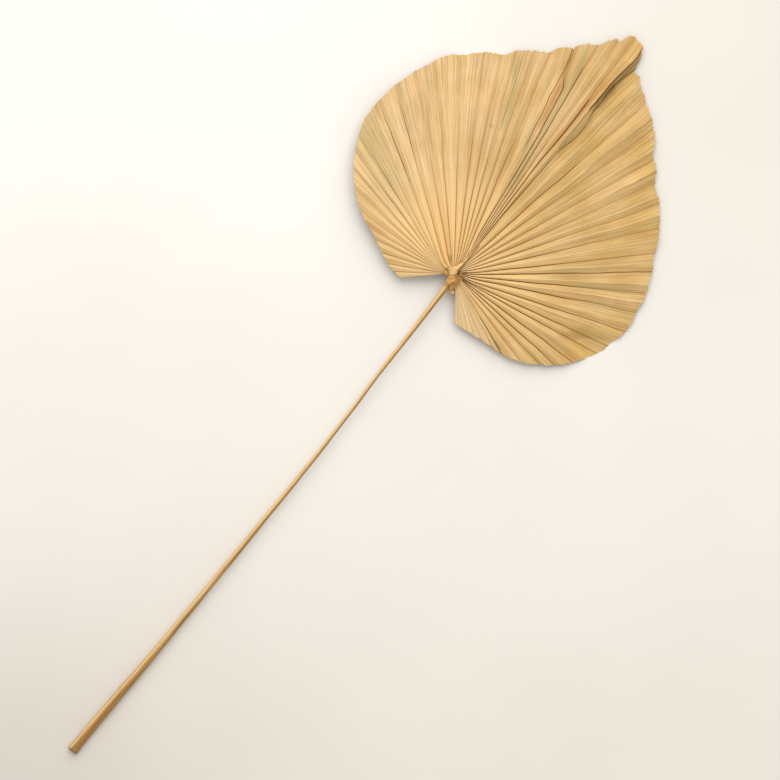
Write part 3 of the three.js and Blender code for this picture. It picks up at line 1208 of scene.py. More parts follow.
    def _wander(self, points: np.ndarray, facet: np.ndarray, away: np.ndarray) -> np.ndarray:
        """Let the folds' lines wander sideways, by a share of the facets' width.

        Args:
            points: The lines' points by fold and row.
            facet: The width of the facets beside each point.
            away: Each point's distance from its fold's root.

        Returns:
            The moved points.
        """
        count = np.arange(points.shape[0])[:, None]
        ways = np.gradient(points, axis=1)
        ways /= np.linalg.norm(ways, axis=2, keepdims=True) + TINY
        sideways = np.stack([ways[..., 1], -ways[..., 0]], -1)
        swing = sum(uneven.at(away, count) for uneven in self.sideways)
        return points + sideways * (swing * facet)[..., None]

    def _fold_heights(
        self, angles: np.ndarray, shares: np.ndarray, facet: np.ndarray, away: np.ndarray
    ) -> np.ndarray:
        """Give the height of each point of each fold over the floor, before it is pressed flat anywhere.

        Args:
            angles: The folds' angles at the rim.
            shares: The rows' shares of the way out.
            facet: The width of the facets beside each point.
            away: Each point's distance from its fold's root.

        Returns:
            Heights by fold and row.
        """
        count = np.arange(len(angles))
        side = np.where(count % 2, 1.0, -1.0)
        own = np.array([self.own_depths.get(round(float(a), 3), 1.0) for a in angles])
        scale = self.relief(angles) * (1 + self.depth_wander * draw(count, Draw.DEPTH)) * own
        steep, flat = self.slopes
        slope = flat + (steep - flat) * (1 - np.minimum(1, shares / self.open_by)) ** self.opening_power
        depth = facet * np.tan(np.radians(slope))[None] * scale[:, None]
        depth = np.maximum(depth, self.least_depth * (1 - shares[None]))
        depth *= 1 + self.depth_swell.at(away, count[:, None])
        fall = (self.rim_height(angles)[:, None] - self.hub_height) * shares[None] ** self.droop
        surface = self.hub_height + fall + shares * self.surface_lift.at(away, count[:, None])
        return surface + side[:, None] * depth / 2

    def _strip_rise(self, angles: np.ndarray, shares: np.ndarray) -> np.ndarray:
        """Give how far the strip along the middle stands over the fan's own surface.

        Args:
            angles: The folds' angles at the rim.
            shares: The rows' shares of the way out.

        Returns:
            Heights by fold and row.
        """
        first, last = self.strip
        inside = (angles > first + 0.01) & (angles <= last + 0.01)
        share = np.clip((angles - first) / (last - first), 0, 1) * inside
        out = np.clip((shares - self.strip_root) / (1 - self.strip_root), 0, 1)
        return self.strip_rise * share[:, None] * out[None]

    def _folds(self, angles: np.ndarray, shares: np.ndarray) -> tuple[np.ndarray, np.ndarray, np.ndarray]:
        """Lay every fold from its root to the rim, at its height over the floor.

        Args:
            angles: The folds' angles at the rim.
            shares: The rows' shares of the way out.

        Returns:
            Points by fold and row, the gaps to the next fold, and the distances from the roots.
        """
        lines, lengths = self._lines(angles, shares)
        away = lengths[:, None] * shares[None]
        gaps = np.linalg.norm(np.diff(lines, axis=0), axis=2)
        facet = np.concatenate([gaps[:1], (gaps[1:] + gaps[:-1]) / 2, gaps[-1:]])
        lines = self._wander(lines, facet, away)
        heights = self._fold_heights(angles, shares, facet, away) + self._strip_rise(angles, shares)
        return np.concatenate([lines, heights[..., None]], -1), gaps, away

    def _columns(self, angles: np.ndarray) -> Columns:
        """List the grid's columns, two of them at each split.

        Args:
            angles: The folds' angles at the rim.

        Returns:
            The columns.
        """
        split_at = {int(np.argmin(np.abs(angles - slit.fold))): n for n, slit in enumerate(SLITS)}
        rows: list[tuple[int, float, int, int]] = []
        for i in range(len(angles) - 1):
            for j in range(self.between):
                if j == 0 and i in split_at:
                    rows += [(i, 0.0, split_at[i], -1), (i, 0.0, split_at[i], 1)]
                else:
                    rows.append((i, j / self.between, -1, 0))
        rows.append((len(angles) - 2, 1.0, -1, 0))
        fold, share, split, side = np.array(rows).T
        fold = fold.astype(int)
        angle = angles[fold] * (1 - share) + angles[fold + 1] * share
        return Columns(fold, share, split.astype(int), side.astype(int), angles[fold], angle)

    def _sheet(self, folds: np.ndarray, width: np.ndarray, away: np.ndarray, columns: Columns) -> np.ndarray:
        """Lay the sheet from fold to fold, a little rounded in between.

        Args:
            folds: Points by fold and row.
            width: The facets' width by column and row.
            away: The folds' distances from their roots.
            columns: The grid's columns.

        Returns:
            Points by column and row.
        """
        t = columns.share[:, None]
        points = folds[columns.fold] * (1 - t[..., None]) + folds[columns.fold + 1] * t[..., None]
        bulge = self.facet_bulge.at(away[columns.fold], columns.fold[:, None])
        points[..., 2] += width * bulge * 4 * t * (1 - t)
        return points

    def _crumple(self, points: np.ndarray, columns: Columns) -> None:
        """Crease the crushed sheet beside the strip's edge, near the point.

        Args:
            points: The grid's points by column and row, which are changed.
            columns: The grid's columns.
        """
        radius = np.hypot(points[..., 0], points[..., 1])
        across = columns.angle[:, None]
        inside = stretch(across, *self.crumple_angles) * stretch(radius, *self.crumple_radii)
        creases = ripple(radius / self.crumple_length + across * 1.5, across * 2.1, Draw.SWELL)
        points[..., 2] += self.crumple_depth * inside * creases

    def _split(self, points: np.ndarray, columns: Columns) -> None:
        """Move the two sides of each split apart, or one under the other.

        Args:
            points: The grid's points by column and row, which are changed.
            columns: The grid's columns.
        """
        for n, slit in enumerate(SLITS):
            full, fading = slit.start + self.slit_taper, slit.end - self.slit_taper
            for column in np.flatnonzero(columns.split == n):
                radius = np.hypot(points[column, :, 0], points[column, :, 1])
                opening = stretch(radius, slit.start, full, fading, slit.end)
                tangent = np.stack([points[column, :, 1], -points[column, :, 0]], -1) / radius[:, None]
                own = 1 if columns.side[column] > 0 else -1
                shift = own * slit.width / 2 - (slit.tuck if own > 0 else 0)
                points[column, :, :2] += tangent * (shift * opening)[:, None]
                points[column, :, 2] -= own * opening * slit.step / (1 if slit.tuck and own > 0 else 2)

    def _trim(self, points: np.ndarray, shares: np.ndarray, columns: Columns) -> None:
        """Trim the rim with nicks and teeth, along the folds.

        Args:
            points: The grid's points by column and row, which are changed.
            shares: The rows' shares of the way out.
            columns: The grid's columns.
        """
        count = np.arange(len(columns.fold))
        reach = self.nicks(columns.angle) + self.teeth(columns.angle) * draw(count, Draw.TEETH)
        ways = points[:, -1, :2] - points[:, -1 - self.rim_rows, :2]
        ways /= np.linalg.norm(ways, axis=1, keepdims=True)
        points[..., :2] += (ways * reach[:, None])[:, None] * ease(shares, self.rim_from, 1)[None, :, None]

    def _settle(self, points: np.ndarray, shares: np.ndarray, columns: Columns) -> None:
        """Press the feet flat on the floor, and keep the rest over it.

        Args:
            points: The grid's points by column and row, which are changed.
            shares: The rows' shares of the way out.
            columns: The grid's columns.
        """
        angle = columns.angle[:, None]
        across = np.max([np.exp(-(((angle - foot) / self.foot_reach) ** 2)) for foot in self.feet], axis=0)
        out = np.clip((shares[None] - self.foot_from) / (1 - self.foot_from), 0, 1)
        pressed = np.minimum(1, self.foot_flattening * across * out)
        resting = self.thickness / 2 + self.clearance
        points[..., 2] = np.maximum(points[..., 2] * (1 - pressed) + resting * pressed, resting)

    def build(self) -> bpy.types.Object:
        """Build and dress the fan.

        Returns:
            The finished object.
        """
        angles = self.fold_angles()
        shares = (np.arange(self.rows) / (self.rows - 1)) ** self.crowding
        folds, gaps, away = self._folds(angles, shares)
        columns = self._columns(angles)
        width = gaps[columns.fold]
        points = self._sheet(folds, width, away, columns)
        self._crumple(points, columns)
        self._split(points, columns)
        self._trim(points, shares, columns)
        self._settle(points, shares, columns)
        piece = self._grid(points)
        self._record_folds(piece, points, width, columns)
        self._record_stains(piece, points, columns)
        self._record_lines(piece, points, width, angles, columns)
        self._cut(piece, columns)
        apply_modifier(piece, "SOLIDIFY", thickness=self.thickness * MILLIMETRE, offset=0.0, use_rim=True)
        self._keep_inside(piece)
        smooth(piece, self.sharp_from)
        piece.data.materials.append(PaperyFinish().material())
        return seat(piece, Part.BLADE)

    def _grid(self, points: np.ndarray) -> bpy.types.Object:
        """Add a grid with a column and a row for each point, and put its vertices there.

        Args:
            points: The points by column and row.

        Returns:
            The new object.
        """
        columns, rows = points.shape[:2]
        deselect_all()
        bpy.ops.mesh.primitive_grid_add(x_subdivisions=columns - 1, y_subdivisions=rows - 1, size=1.0)
        piece = named("fan")
        flat = corners_of(piece)
        self._column = np.rint((flat[:, 0] + 0.5) * (columns - 1)).astype(int)
        self._row = np.rint((flat[:, 1] + 0.5) * (rows - 1)).astype(int)
        place_corners(piece, points[self._column, self._row])
        return piece

    def _write(self, piece: bpy.types.Object, name: str, values: np.ndarray) -> None:
        """Store values by column and row for the finish to read."""
        write_attribute(piece, name, values[self._column, self._row])

    def _record_folds(
        self, piece: bpy.types.Object, points: np.ndarray, width: np.ndarray, columns: Columns
    ) -> None:
        """Store where each vertex lies between its valley and its crest, and how strongly the painted shade
        in the valleys and hollows shows there.

        Args:
            piece: The fan's grid.
            points: Its points by column and row.
            width: The facets' width by column and row.
            columns: The grid's columns.
        """
        radius = np.hypot(points[..., 0], points[..., 1])
        true_angle = np.degrees(np.arctan2(points[..., 0], points[..., 1]))
        angle, share = columns.angle[:, None], columns.share[:, None]
        rise = np.where((columns.fold % 2 == 0)[:, None], share, 1 - share)
        near_hub = ease(radius, *self.hub_glow)
        first, last = self.dark_reach
        dark = 1 - ease(radius, first, last - self.left_dark_loss * ease(true_angle, *self.left_lobe))
        # Strength of the painted shade in the fold hollows.
        hollow_shade_strength = self.rim_hollow_shade + self.hub_hollow_shade * near_hub
        for loss, start, end in (self.pale_right, self.pale_left):
            hollow_shade_strength = hollow_shade_strength * (1 - loss * ease(angle, start, end))
        layers = {
            "across": np.broadcast_to((columns.fold + columns.share)[:, None], width.shape),
            "along": radius,
            "rise": np.broadcast_to(rise, width.shape),
            "valley": rise * width / self.line_reach(columns.fold_angle)[:, None],
            "crest": (1 - rise) * width,
            "crease_shade": self.crease_shade(angle) * (self.rim_crease_shade + self.hub_crease_shade * dark),
            "aged": self.aged(angle) * (1 - self.hub_freshness * near_hub),
            "gold": self.gold(angle) * near_hub,
            "hollow_shade": hollow_shade_strength,
        }
        for name, values in layers.items():
            self._write(piece, name, values)

    def _record_stains(self, piece: bpy.types.Object, points: np.ndarray, columns: Columns) -> None:
        """Store how much of each tone each vertex has: the stains, and the painted shade of the dark tone and
        of some brown marks.

        Args:
            piece: The fan's grid.
            points: Its points by column and row.
            columns: The grid's columns.
        """
        radius = np.hypot(points[..., 0], points[..., 1])
        true_angle = np.degrees(np.arctan2(points[..., 0], points[..., 1]))
        for tone in Tone:
            parts = [stain.cover(radius, true_angle) for stain in STAINS if stain.tone is tone]
            cover = 1 - np.prod([1 - part for part in parts], axis=0)
            if tone is Tone.BROWN:
                hub = self.hub_brown(columns.angle)[:, None] * (1 - ease(radius, *self.hub_stain))
                cover = np.maximum(cover, hub)
            self._write(piece, tone.value, cover)

    def _record_lines(
        self,
        piece: bpy.types.Object,
        points: np.ndarray,
        width: np.ndarray,
        angles: np.ndarray,
        columns: Columns,
    ) -> None:
        """Store each vertex's distance from the line of painted shade beside it, and how dark that is.

        Args:
            piece: The fan's grid.
            points: Its points by column and row.
            width: The facets' width by column and row.
            angles: The folds' angles at the rim.
            columns: The grid's columns.
        """
        radius = np.hypot(points[..., 0], points[..., 1])
        off = np.full(radius.shape, NO_LINE)
        line_shade = np.zeros(radius.shape)
        for line in LINES:
            at = int(np.argmin(np.abs(angles - line.fold)))
            for facet, gap in ((at, columns.share), (at - 1, 1 - columns.share)):
                here = columns.fold == facet
                depth = line.depth(radius[here])
                apart = np.where(depth > 0, gap[here, None] * width[here] / line.breadth, NO_LINE)
                closer = apart < off[here]
                off[here] = np.where(closer, apart, off[here])
                line_shade[here] = np.where(closer, depth, line_shade[here])
        self._write(piece, "line", off)
        self._write(piece, "line_shade", line_shade)

    def _cut(self, piece: bpy.types.Object, columns: Columns) -> None:
        """Delete the faces inside the splits and weld their closed ends.

        Args:
            piece: The fan's grid.
            columns: The grid's columns.
        """
        corners = np.empty(len(piece.data.polygons) * 4, np.int32)
        piece.data.polygons.foreach_get("vertices", corners)
        held = self._column[corners.reshape(-1, 4)]
        low, high = held.min(1), held.max(1)
        split = columns.split
        select_faces(piece, (split[low] >= 0) & (split[low] == split[high]))
        bpy.ops.mesh.delete(type="FACE")
        mend(piece, weld=True)

    def _keep_inside(self, piece: bpy.types.Object) -> None:
        """Hold every vertex inside the leaf's own box.

        Args:
            piece: The fan.
        """
        low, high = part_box(Part.BLADE.value)
        above = np.array([0.0, 0.0, self.headroom * MILLIMETRE])
        points = np.clip(corners_of(piece), np.array(low), np.array(high) + above)
        piece.data.vertices.foreach_set("co", points.astype(np.float32).ravel())
        piece.data.update()


@dataclass
class Stalk:
    """The leaf stalk, from its square cut end to the swelling, with the rib that runs on over the fan."""

    corners: int = 28
    longest_step: float = 5.0
    cut_end: float = -667.0
    torn_at: float = -12.6
    end: float = 44.0
    end_slant: float = 2.4
    slanted_over: float = 9.0
    end_rounding: float = 0.07
    rounded_over: float = 1.2
    flare: float = 0.1
    flared_over: tuple[float, float] = (4.0, 14.0)
    end_rings: tuple[float, ...] = (0.5, 1.2, 2.5)
    tear_rings: tuple[float, ...] = (-1.6, -0.8, 0.0, 0.8, 1.6)
    lean: float = 0.08
    bumps: tuple[tuple[float, float, float], ...] = ((0.05, 30.0, 40.0), (0.02, 7.0, 25.0))
    sways: tuple[tuple[float, float, float], ...] = ((0.35, 42.0, 3.5), (0.12, 15.0, 8.5))
    turned_over: tuple[float, float] = (-660.0, -480.0)
    ridge_at: float = 118.0
    ridge_turn: float = 16.0
    ridge_width: float = 13.0
    ridge_fades: tuple[float, float] = (-150.0, -40.0)
    lee_from: tuple[float, float] = (-110.0, -60.0)
    lee_to: float = 64.0
    lee_turn: float = 30.0
    lee_fade: float = 26.0
    end_shade: float = 0.8
    end_shade_depth: float = 0.4
    tear_shade: float = 0.85
    tear_width: float = 0.8
    across: Curve = Curve((
        (-667, -3.4), (-600, -1.8), (-523, 0.5), (-421, 2.5), (-340, 3.5), (-250, 4.4), (-175, 3.5),
        (-140, 2.4), (-80, 1.8), (-30, 1.2), (-12, 0.9), (-2, -1), (4, -2), (6.5, -1.9), (13, -0.6),
        (26, 0.3), (44, 1.1),
    ))
    half: Curve = Curve((
        (-667, 5.4), (-600, 5.1), (-523, 4), (-421, 3.3), (-340, 2.9), (-250, 2.5), (-175, 2.3),
        (-140, 2.3), (-80, 2.7), (-30, 3.1), (-14, 3.3), (-12.6, 3.1), (-8, 3.4), (-2, 4.2), (4, 3.8),
        (13, 2.2), (26, 1.4), (44, 0.8),
    ))
    under: Curve = Curve((
        (-667, 0), (-600, 1.4), (-523, 3.6), (-421, 6), (-340, 7.8), (-250, 9.5), (-175, 11), (-140, 11.6),
        (-80, 12.3), (-30, 12.9), (-12, 12), (-2, 11), (4, 11.6), (6.5, 14), (13, 15.5), (26, 16.4),
        (44, 16.8),
    ))
    top: Curve = Curve((
        (-667, 9.4), (-600, 10.2), (-523, 10.9), (-421, 11.8), (-340, 13), (-250, 14.2), (-175, 15.5),
        (-140, 16.1), (-80, 17.2), (-30, 18.2), (-13, 19.0), (-11.5, 18.4), (-2, 18.6), (4, 18.6),
        (13, 18.4), (26, 18.2), (44, 17.4),
    ))
    section: Curve = Curve((
        (-180, 0.95), (-166, 1.03), (-142, 1.01), (-121, 1.13), (-90, 1.0), (-59, 1.13), (-41, 1.05),
        (-22, 1.06), (-3, 0.96), (18, 0.97), (41, 0.9), (65, 0.95), (81, 0.95), (97, 1.04), (119, 0.92),
        (142, 0.985), (169, 0.91), (180, 0.95),
    ))

    def build(self) -> bpy.types.Object:
        """Build and dress the stalk.

        Returns:
            The finished object.
        """
        stations = self._stations()
        deselect_all()
        bpy.ops.mesh.primitive_circle_add(
            vertices=self.corners, radius=1.0, fill_type="NGON", rotation=(math.radians(90), 0, 0)
        )
        piece = named("leaf_stalk")
        take(piece)
        bpy.ops.object.transform_apply(location=True, rotation=True, scale=True)
        bpy.ops.object.mode_set(mode="EDIT")
        bpy.ops.mesh.select_mode(type="FACE")
        bpy.ops.mesh.select_all(action="SELECT")
        for _ in stations[1:]:
            bpy.ops.mesh.extrude_region_move(TRANSFORM_OT_translate={"value": (0, 1, 0)})
        bpy.ops.object.mode_set(mode="OBJECT")
        self._shape(piece, stations)
        mend(piece, weld=False)
        smooth(piece, 30)
        piece.data.materials.append(WoodyFinish().material())
        return seat(piece, Part.STALK)

    def _stations(self) -> np.ndarray:
        """Place the stalk's rings, closer at the cut end and at the tear.

        Returns:
            Their distances along the stalk.
        """
        count = int((self.end - self.cut_end) / self.longest_step) + 1
        even = np.linspace(self.cut_end, self.end, count)
        near_end = self.cut_end + np.array(self.end_rings)
        near_tear = self.torn_at + np.array(self.tear_rings)
        return np.sort(np.concatenate([even, near_end, near_tear]))

    def _shape(self, piece: bpy.types.Object, stations: np.ndarray) -> None:
        """Put each ring's vertices in place.

        Args:
            piece: The extruded rings.
            stations: The distance along of each ring.
        """
        raw = corners_of(piece)
        ring = np.rint(raw[:, 1] - raw[:, 1].min()).astype(int)
        turn = np.degrees(np.arctan2(raw[:, 2], raw[:, 0]))
        y = stations[ring]
        past_end = y - self.cut_end
        bumps = sum(
            share * ripple(y / along, turn / around, Draw.STALK) for share, along, around in self.bumps
        )
        rounding = 1 - self.end_rounding * (1 - ease(past_end, 0, self.rounded_over))
        flare = 1 + self.flare * (1 - ease(past_end, *self.flared_over))
        radius = self.section(turn) * (1 + bumps) * rounding * flare
        sway = sum(reach * ripple(y / along, row, Draw.STALK) for reach, along, row in self.sways)
        cos, sin = np.cos(np.radians(turn)), np.sin(np.radians(turn))
        low, high = self.under(y), self.top(y)
        x = self.across(y) + sway + self.half(y) * radius * (cos - self.lean * sin)
        z = np.clip((low + high) / 2 + (high - low) / 2 * radius * sin, FLOOR_GAP, CEILING)
        slant = self.end_slant * (z - low) / (high - low) * (1 - ease(past_end, 0, self.slanted_over))
        place_corners(piece, np.stack([x, y + slant, z], -1))
        self._record(piece, y, turn)

    def _record(self, piece: bpy.types.Object, y: np.ndarray, turn: np.ndarray) -> None:
        """Store where the stalk has its painted ridge highlight, its painted shade on the side away from the
        light, and its dark cut end and painted shade at the tear.

        Args:
            piece: The stalk.
            y: Each vertex's distance along.
            turn: Its angle round the stalk in degrees.
        """
        turned = 1 - ease(y, *self.turned_over)
        ridge_highlight = np.exp(-(((turn - self.ridge_at - self.ridge_turn * turned) / self.ridge_width) ** 2))
        edge = self.lee_to + self.lee_turn * turned
        end_face = self.end_shade * (1 - ease(y - self.cut_end, 0, self.end_shade_depth))
        tear = self.tear_shade * np.exp(-(((y - self.torn_at) / self.tear_width) ** 2))
        write_attribute(piece, "along", y)
        write_attribute(piece, "around", turn / 60)
        write_attribute(piece, "ridge_highlight", ridge_highlight * (1 - ease(y, *self.ridge_fades)))
        write_attribute(piece, "lee_shade", stretch(turn, *self.lee_from, edge, edge + self.lee_fade))
        write_attribute(piece, "dark", np.maximum(end_face, tear))


@dataclass(frozen=True)
class Strand:
    """One dry fibre: leaf points that it passes, its thickness, and its share of that at each point."""

    points: tuple[tuple[float, float, float], ...]
    thickness: float
    taper: tuple[float, ...] = (0.4, 1.0, 0.4)


@dataclass(frozen=True)
class Lump:
    """One rounded lump of creased tissue or of painted shade: its middle as a leaf point, half sizes, creases
    and finish.
    """

    name: str
    middle: tuple[float, float, float]
    size: tuple[float, float, float]
    creased: float
    swell: float
    finish: FibrousFinish


PALE_TISSUE = FibrousFinish("pale_tissue", (0.76, 0.52, 0.26), (0.60, 0.35, 0.13), 600.0)
AMBER_TISSUE = FibrousFinish("amber_tissue", (0.70, 0.40, 0.13), (0.32, 0.145, 0.035), 700.0)
ORANGE_TISSUE = FibrousFinish("orange_tissue", (0.66, 0.34, 0.10), (0.44, 0.20, 0.05), 600.0)
RIB_TISSUE = FibrousFinish("rib_tissue", (0.78, 0.50, 0.22), (0.56, 0.31, 0.10), 600.0)
HUSK_TISSUE = FibrousFinish("husk_tissue", (0.70, 0.48, 0.18), (0.44, 0.26, 0.07), 600.0)
# The dark tint of the lump of painted shade in the gap by the neck.
GAP_SHADE_TISSUE = FibrousFinish("gap_shade_tissue", (0.42, 0.21, 0.06), (0.13, 0.06, 0.018), 900.0)
CLUMP_TISSUE = FibrousFinish("clump_tissue", (0.72, 0.44, 0.20), (0.44, 0.23, 0.08), 800.0)
ROOT_FIBRES = FibrousFinish("root_fibres", (0.64, 0.36, 0.12), (0.34, 0.16, 0.045), 500.0)
DRY_FIBRES = FibrousFinish("dry_fibres", (0.74, 0.47, 0.19), (0.46, 0.24, 0.07), 500.0)


@dataclass
class Hub:
    """What lies round the top of the stalk: the pale tongue, knobs of torn tissue, a dark lump that stands
    for the shade in the gap between the stalk's top and the fibres, and loose fibres.
    """

    fan: Fan
    lowest: float = 11.0
    rounded_from: float = 60.0
    root_strands: int = 20
    root_angles: tuple[float, float] = (32.0, 136.0)
    root_start: tuple[float, float, float] = (2.2, -6.0, 16.9)
    root_spread: float = 13.0
    root_height: float = 16.6
    root_thickness: float = 0.8
    frayed_strands: int = 16
    fray_start: tuple[float, float, float] = (4.5, -8.0, 17.0)
    fray_way: tuple[float, float, float] = (3.4, -5.6, -1.6)
    fray_thickness: float = 0.6
    lumps: tuple[Lump, ...] = (
        Lump("hub_tongue", (-3.6, 5.2, 16.2), (4.6, 6.4, 3.0), 0.14, 2.8, PALE_TISSUE),
        Lump("hub_husk", (-13.0, 3.2, 16.6), (2.6, 2.0, 1.1), 0.4, 2.0, HUSK_TISSUE),
        Lump("hub_neck", (0.4, -4.4, 16.0), (4.2, 6.2, 3.3), 0.3, 2.6, AMBER_TISSUE),
        Lump("hub_knob", (-8.6, -1.9, 16.7), (3.3, 2.0, 1.5), 0.5, 1.6, ORANGE_TISSUE),
        # A dark lump that stands for the shade in the gap between the stalk's top and the fibres.
        Lump("hub_gap_shade", (5.4, -7.6, 15.4), (2.8, 4.4, 2.2), 0.35, 2.2, GAP_SHADE_TISSUE),
        Lump("hub_clump", (9.6, -13.8, 14.4), (3.3, 2.1, 1.2), 0.5, 1.7, CLUMP_TISSUE),
        Lump("hub_tuft", (6.0, -12.4, 14.9), (2.4, 1.8, 1.1), 0.5, 1.5, AMBER_TISSUE),
    )

    def build(self) -> list[bpy.types.Object]:
        """Build and dress the pieces of the hub.

        Returns:
            The finished objects.
        """
        pieces = [self._lump(lump) for lump in self.lumps]
        pieces.append(self._tubes("hub_rib", [self._rib()], 5, RIB_TISSUE))
        pieces.append(self._tubes("hub_roots", self._roots(), 1, ROOT_FIBRES))
        pieces.append(self._tubes("hub_frays", self._frays(), 1, DRY_FIBRES))
        return [seat(piece) for piece in pieces]

    def _lump(self, lump: Lump) -> bpy.types.Object:
        """Model one lump.

        Args:
            lump: Its values.

        Returns:
            The new object.
        """
        deselect_all()
        bpy.ops.mesh.primitive_ico_sphere_add(subdivisions=5, radius=1.0)
        piece = named(lump.name)
        place = corners_of(piece) * np.array(lump.size)
        x, y, z = (place / lump.swell).T
        creases = ripple(x + 11, y + 3 * z, Draw.HUB)
        creases = creases + 0.5 * ripple(y * 2.1, z * 2.1 + x + 5, Draw.HUB)
        creases = creases + 0.3 * ripple(x * 4, y * 4 + z, Draw.HUB)
        points = place * (1 + lump.creased * 0.5 * creases[:, None]) + np.array(lump.middle)
        points[:, 2] = np.clip(points[:, 2], self.lowest, CEILING)
        place_corners(piece, points)
        smooth(piece, self.rounded_from)
        piece.data.materials.append(lump.finish.material())
        return piece

    def _rib(self) -> Strand:
        """Lay the rib that runs from the tongue over the middle folds.

        Returns:
            The rib.
        """
        points = (
            (-3.4, 6.0, 17.0), (-2.4, 11.0, 17.5), (-1.2, 17.0, 17.7), (-0.6, 24.0, 17.4), (-0.5, 33.0, 16.6),
        )
        return Strand(points, 5.8, (0.85, 0.72, 0.52, 0.36, 0.14))

    def _roots(self) -> list[Strand]:
        """Lay the fibres between the neck and the roots of the right folds.

        Returns:
            The fibres.
        """
        found: list[Strand] = []
        first, last = self.root_angles
        for n in range(self.root_strands):
            a, b, c, d = (float(draw(n * 3.1 + k, Draw.FIBRE)) for k in range(4))
            angle = first + (last - first) * (n + 0.5 + 0.3 * a) / self.root_strands
            x, y = float(self.fan.root_x(angle)), float(self.fan.root_y(angle))
            root = np.array([x + 1.2, y, self.root_height + 0.3 * b])
            up = self.root_spread * (1 - n / self.root_strands)
            start = np.array(self.root_start) + np.array([0.6 * c, up + 0.5 * d, 0.0])
            middle = (start + root) / 2 + np.array([0.3 * c, 0.3 * d, 0.6 + 0.2 * a])
            found.append(Strand(tuple(map(tuple, (start, middle, root))), self.root_thickness + 0.2 * b))
        return found

    def _frays(self) -> list[Strand]:
        """Lay the frayed fibres below the neck, on its right.

        Returns:
            The fibres.
        """
        found: list[Strand] = []
        for n in range(self.frayed_strands):
            a, b, c = (float(draw(n * 5.7 + k + 300, Draw.FIBRE)) for k in range(3))
            start = np.array(self.fray_start) + np.array([2.0 * a, 2.0 * b, 0.0])
            end = start + np.array(self.fray_way) + np.array([2.4 * b, 2.4 * a, 0.8 * c])
            middle = (start + end) / 2 + np.array([1.2 * c, 0.8 * a, 0.8])
            found.append(Strand(tuple(map(tuple, (start, middle, end))), self.fray_thickness + 0.25 * b))
        return found

    def _thread(self, name: str, strand: Strand, roundness: int) -> bpy.types.Object:
        """Model one fibre as a tube along a smooth curve.

        Args:
            name: The curve's name.
            strand: The fibre.
            roundness: How finely the tube is rounded.

        Returns:
            The new mesh object.
        """
        deselect_all()
        bpy.ops.curve.primitive_bezier_curve_add(radius=1.0)
        thread = bpy.context.active_object
        thread.name = name
        spline = thread.data.splines[0]
        spline.bezier_points.add(len(strand.points) - len(spline.bezier_points))
        spots = in_scene(np.array(strand.points, float))
        for knot, spot, share in zip(spline.bezier_points, spots, strand.taper):
            knot.co = spot
            knot.handle_left_type = knot.handle_right_type = "AUTO"
            knot.radius = share
        thread.data.dimensions = "3D"
        thread.data.resolution_u = thread.data.render_resolution_u = 7
        thread.data.bevel_depth = strand.thickness / 2 * MILLIMETRE
        thread.data.bevel_resolution = roundness
        thread.data.use_fill_caps = True
        take(thread)
        bpy.ops.object.convert(target="MESH")
        return bpy.context.active_object

    def _tubes(
        self, name: str, strands: list[Strand], roundness: int, finish: FibrousFinish
    ) -> bpy.types.Object:
        """Model fibres in one mesh.

        Args:
            name: The piece's name.
            strands: The fibres.
            roundness: How finely they are rounded.
            finish: Their finish.

        Returns:
            The new object.
        """
        threads = [self._thread(f"{name}_{n}", strand, roundness) for n, strand in enumerate(strands)]
        take(threads[0])
        for thread in threads[1:]:
            thread.select_set(True)
        if len(threads) > 1:
            bpy.ops.object.join()
        piece = named(name)
        bpy.ops.object.transform_apply(location=True, rotation=True, scale=True)
        mend(piece, weld=True)
        smooth(piece, self.rounded_from)
        piece.data.materials.clear()
        piece.data.materials.append(finish.material())
        return piece


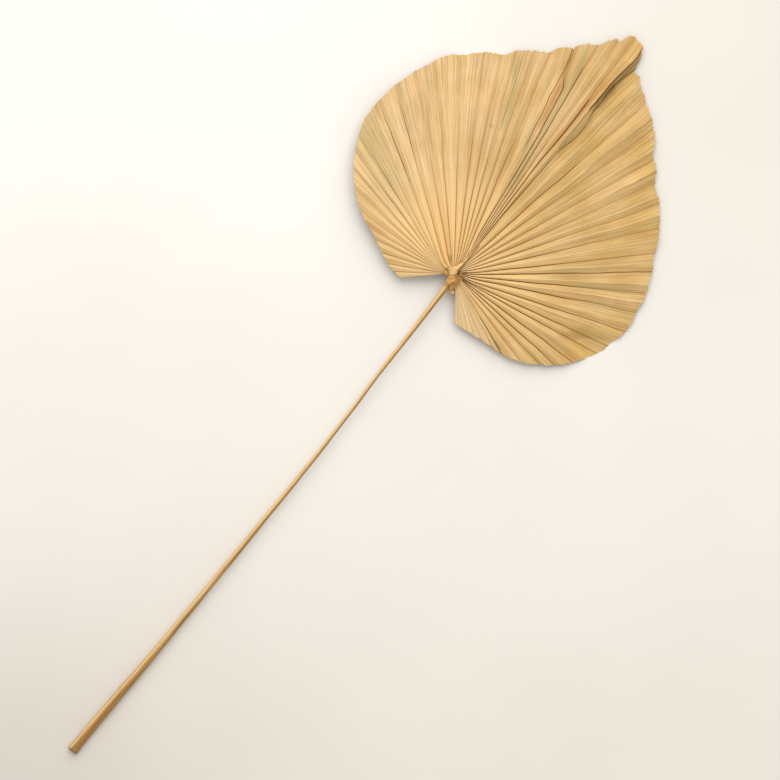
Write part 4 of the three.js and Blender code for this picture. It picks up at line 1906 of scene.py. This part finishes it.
@dataclass
class Studio:
    """The pale floor, the soft lights and the camera straight above, turned as the photograph is."""

    view_middle: tuple[float, float] = (0.0229, 0.0288)
    view_width: float = 0.855
    picture_up: tuple[float, float] = (-0.6225, 0.7826)
    picture_right: tuple[float, float] = (0.7826, 0.6225)
    lens: float = 180.0
    sensor: float = 36.0
    far_clip: float = 50.0
    floor_size: float = 12.0
    lamp_distance: float = 4.5
    lamp_size: float = 5.2
    lamp_light: Colour = (1.0, 0.975, 0.94)
    key_elevation: float = 46.0
    key_power: float = 176.0
    key_to_right: float = 0.12
    fill_elevation: float = 78.0
    fill_power: float = 42.0
    fill_to_right: float = 0.6
    sky: Colour = (1.0, 0.985, 0.965)
    sky_strength: float = 0.62

    def build(self) -> None:
        """Build the floor, the lights, the sky and the camera."""
        self._floor()
        self._camera()
        up, right = np.array(self.picture_up), np.array(self.picture_right)
        self._lamp("key_light", up + right * self.key_to_right, self.key_elevation, self.key_power)
        self._lamp("fill_light", up + right * self.fill_to_right, self.fill_elevation, self.fill_power)
        self._sky()
        bpy.context.scene.view_settings.view_transform = "Standard"

    def _floor(self) -> None:
        """Add the floor, which isn't part of the leaf."""
        deselect_all()
        bpy.ops.mesh.primitive_plane_add(size=self.floor_size)
        floor = named("floor")
        floor.data.materials.append(FloorFinish().material())

    def _camera(self) -> None:
        """Add the camera, so that the picture's width is the view's width on the floor."""
        distance = self.view_width / 2 * self.lens / (self.sensor / 2)
        turn = math.atan2(self.picture_right[1], self.picture_right[0])
        deselect_all()
        bpy.ops.object.camera_add(location=(*self.view_middle, distance), rotation=(0.0, 0.0, turn))
        camera = bpy.context.active_object
        camera.data.lens = self.lens
        camera.data.sensor_width = self.sensor
        camera.data.clip_end = self.far_clip
        bpy.context.scene.camera = camera

    def _lamp(self, name: str, way: np.ndarray, elevation: float, power: float) -> None:
        """Add one soft square light that faces the leaf.

        Args:
            name: The light's name.
            way: The level direction that it stands in.
            elevation: Its height over the floor, in degrees.
            power: Its power in watts.
        """
        level = way / np.linalg.norm(way)
        rise = math.radians(elevation)
        back = np.array([*(level * math.cos(rise)), math.sin(rise)])
        spot = np.array([*self.view_middle, 0.0]) + back * self.lamp_distance
        deselect_all()
        bpy.ops.object.light_add(type="AREA", location=tuple(spot))
        lamp = bpy.context.active_object
        lamp.name = name
        lamp.data.size = self.lamp_size
        lamp.data.energy = power
        lamp.data.color = self.lamp_light
        pitch = math.pi / 2 - rise
        turn = math.atan2(level[0], -level[1])
        lamp.rotation_euler = (pitch, 0.0, turn)

    def _sky(self) -> None:
        """Light the scene evenly from all round."""
        world = bpy.data.worlds.new("studio_sky")
        world.use_nodes = True
        background = world.node_tree.nodes["Background"]
        background.inputs["Color"].default_value = (*self.sky, 1.0)
        background.inputs["Strength"].default_value = self.sky_strength
        bpy.context.scene.world = world


def main() -> None:
    """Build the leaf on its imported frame, and the studio round it."""
    logging.basicConfig(level=logging.INFO, format="%(name)s: %(message)s")
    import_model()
    fan = Fan()
    pieces = [fan.build(), Stalk().build(), *Hub(fan).build()]
    LOG.info("%d pieces in all", len(pieces))
    Studio().build()
    deselect_all()


if __name__ == "__main__":
    main()
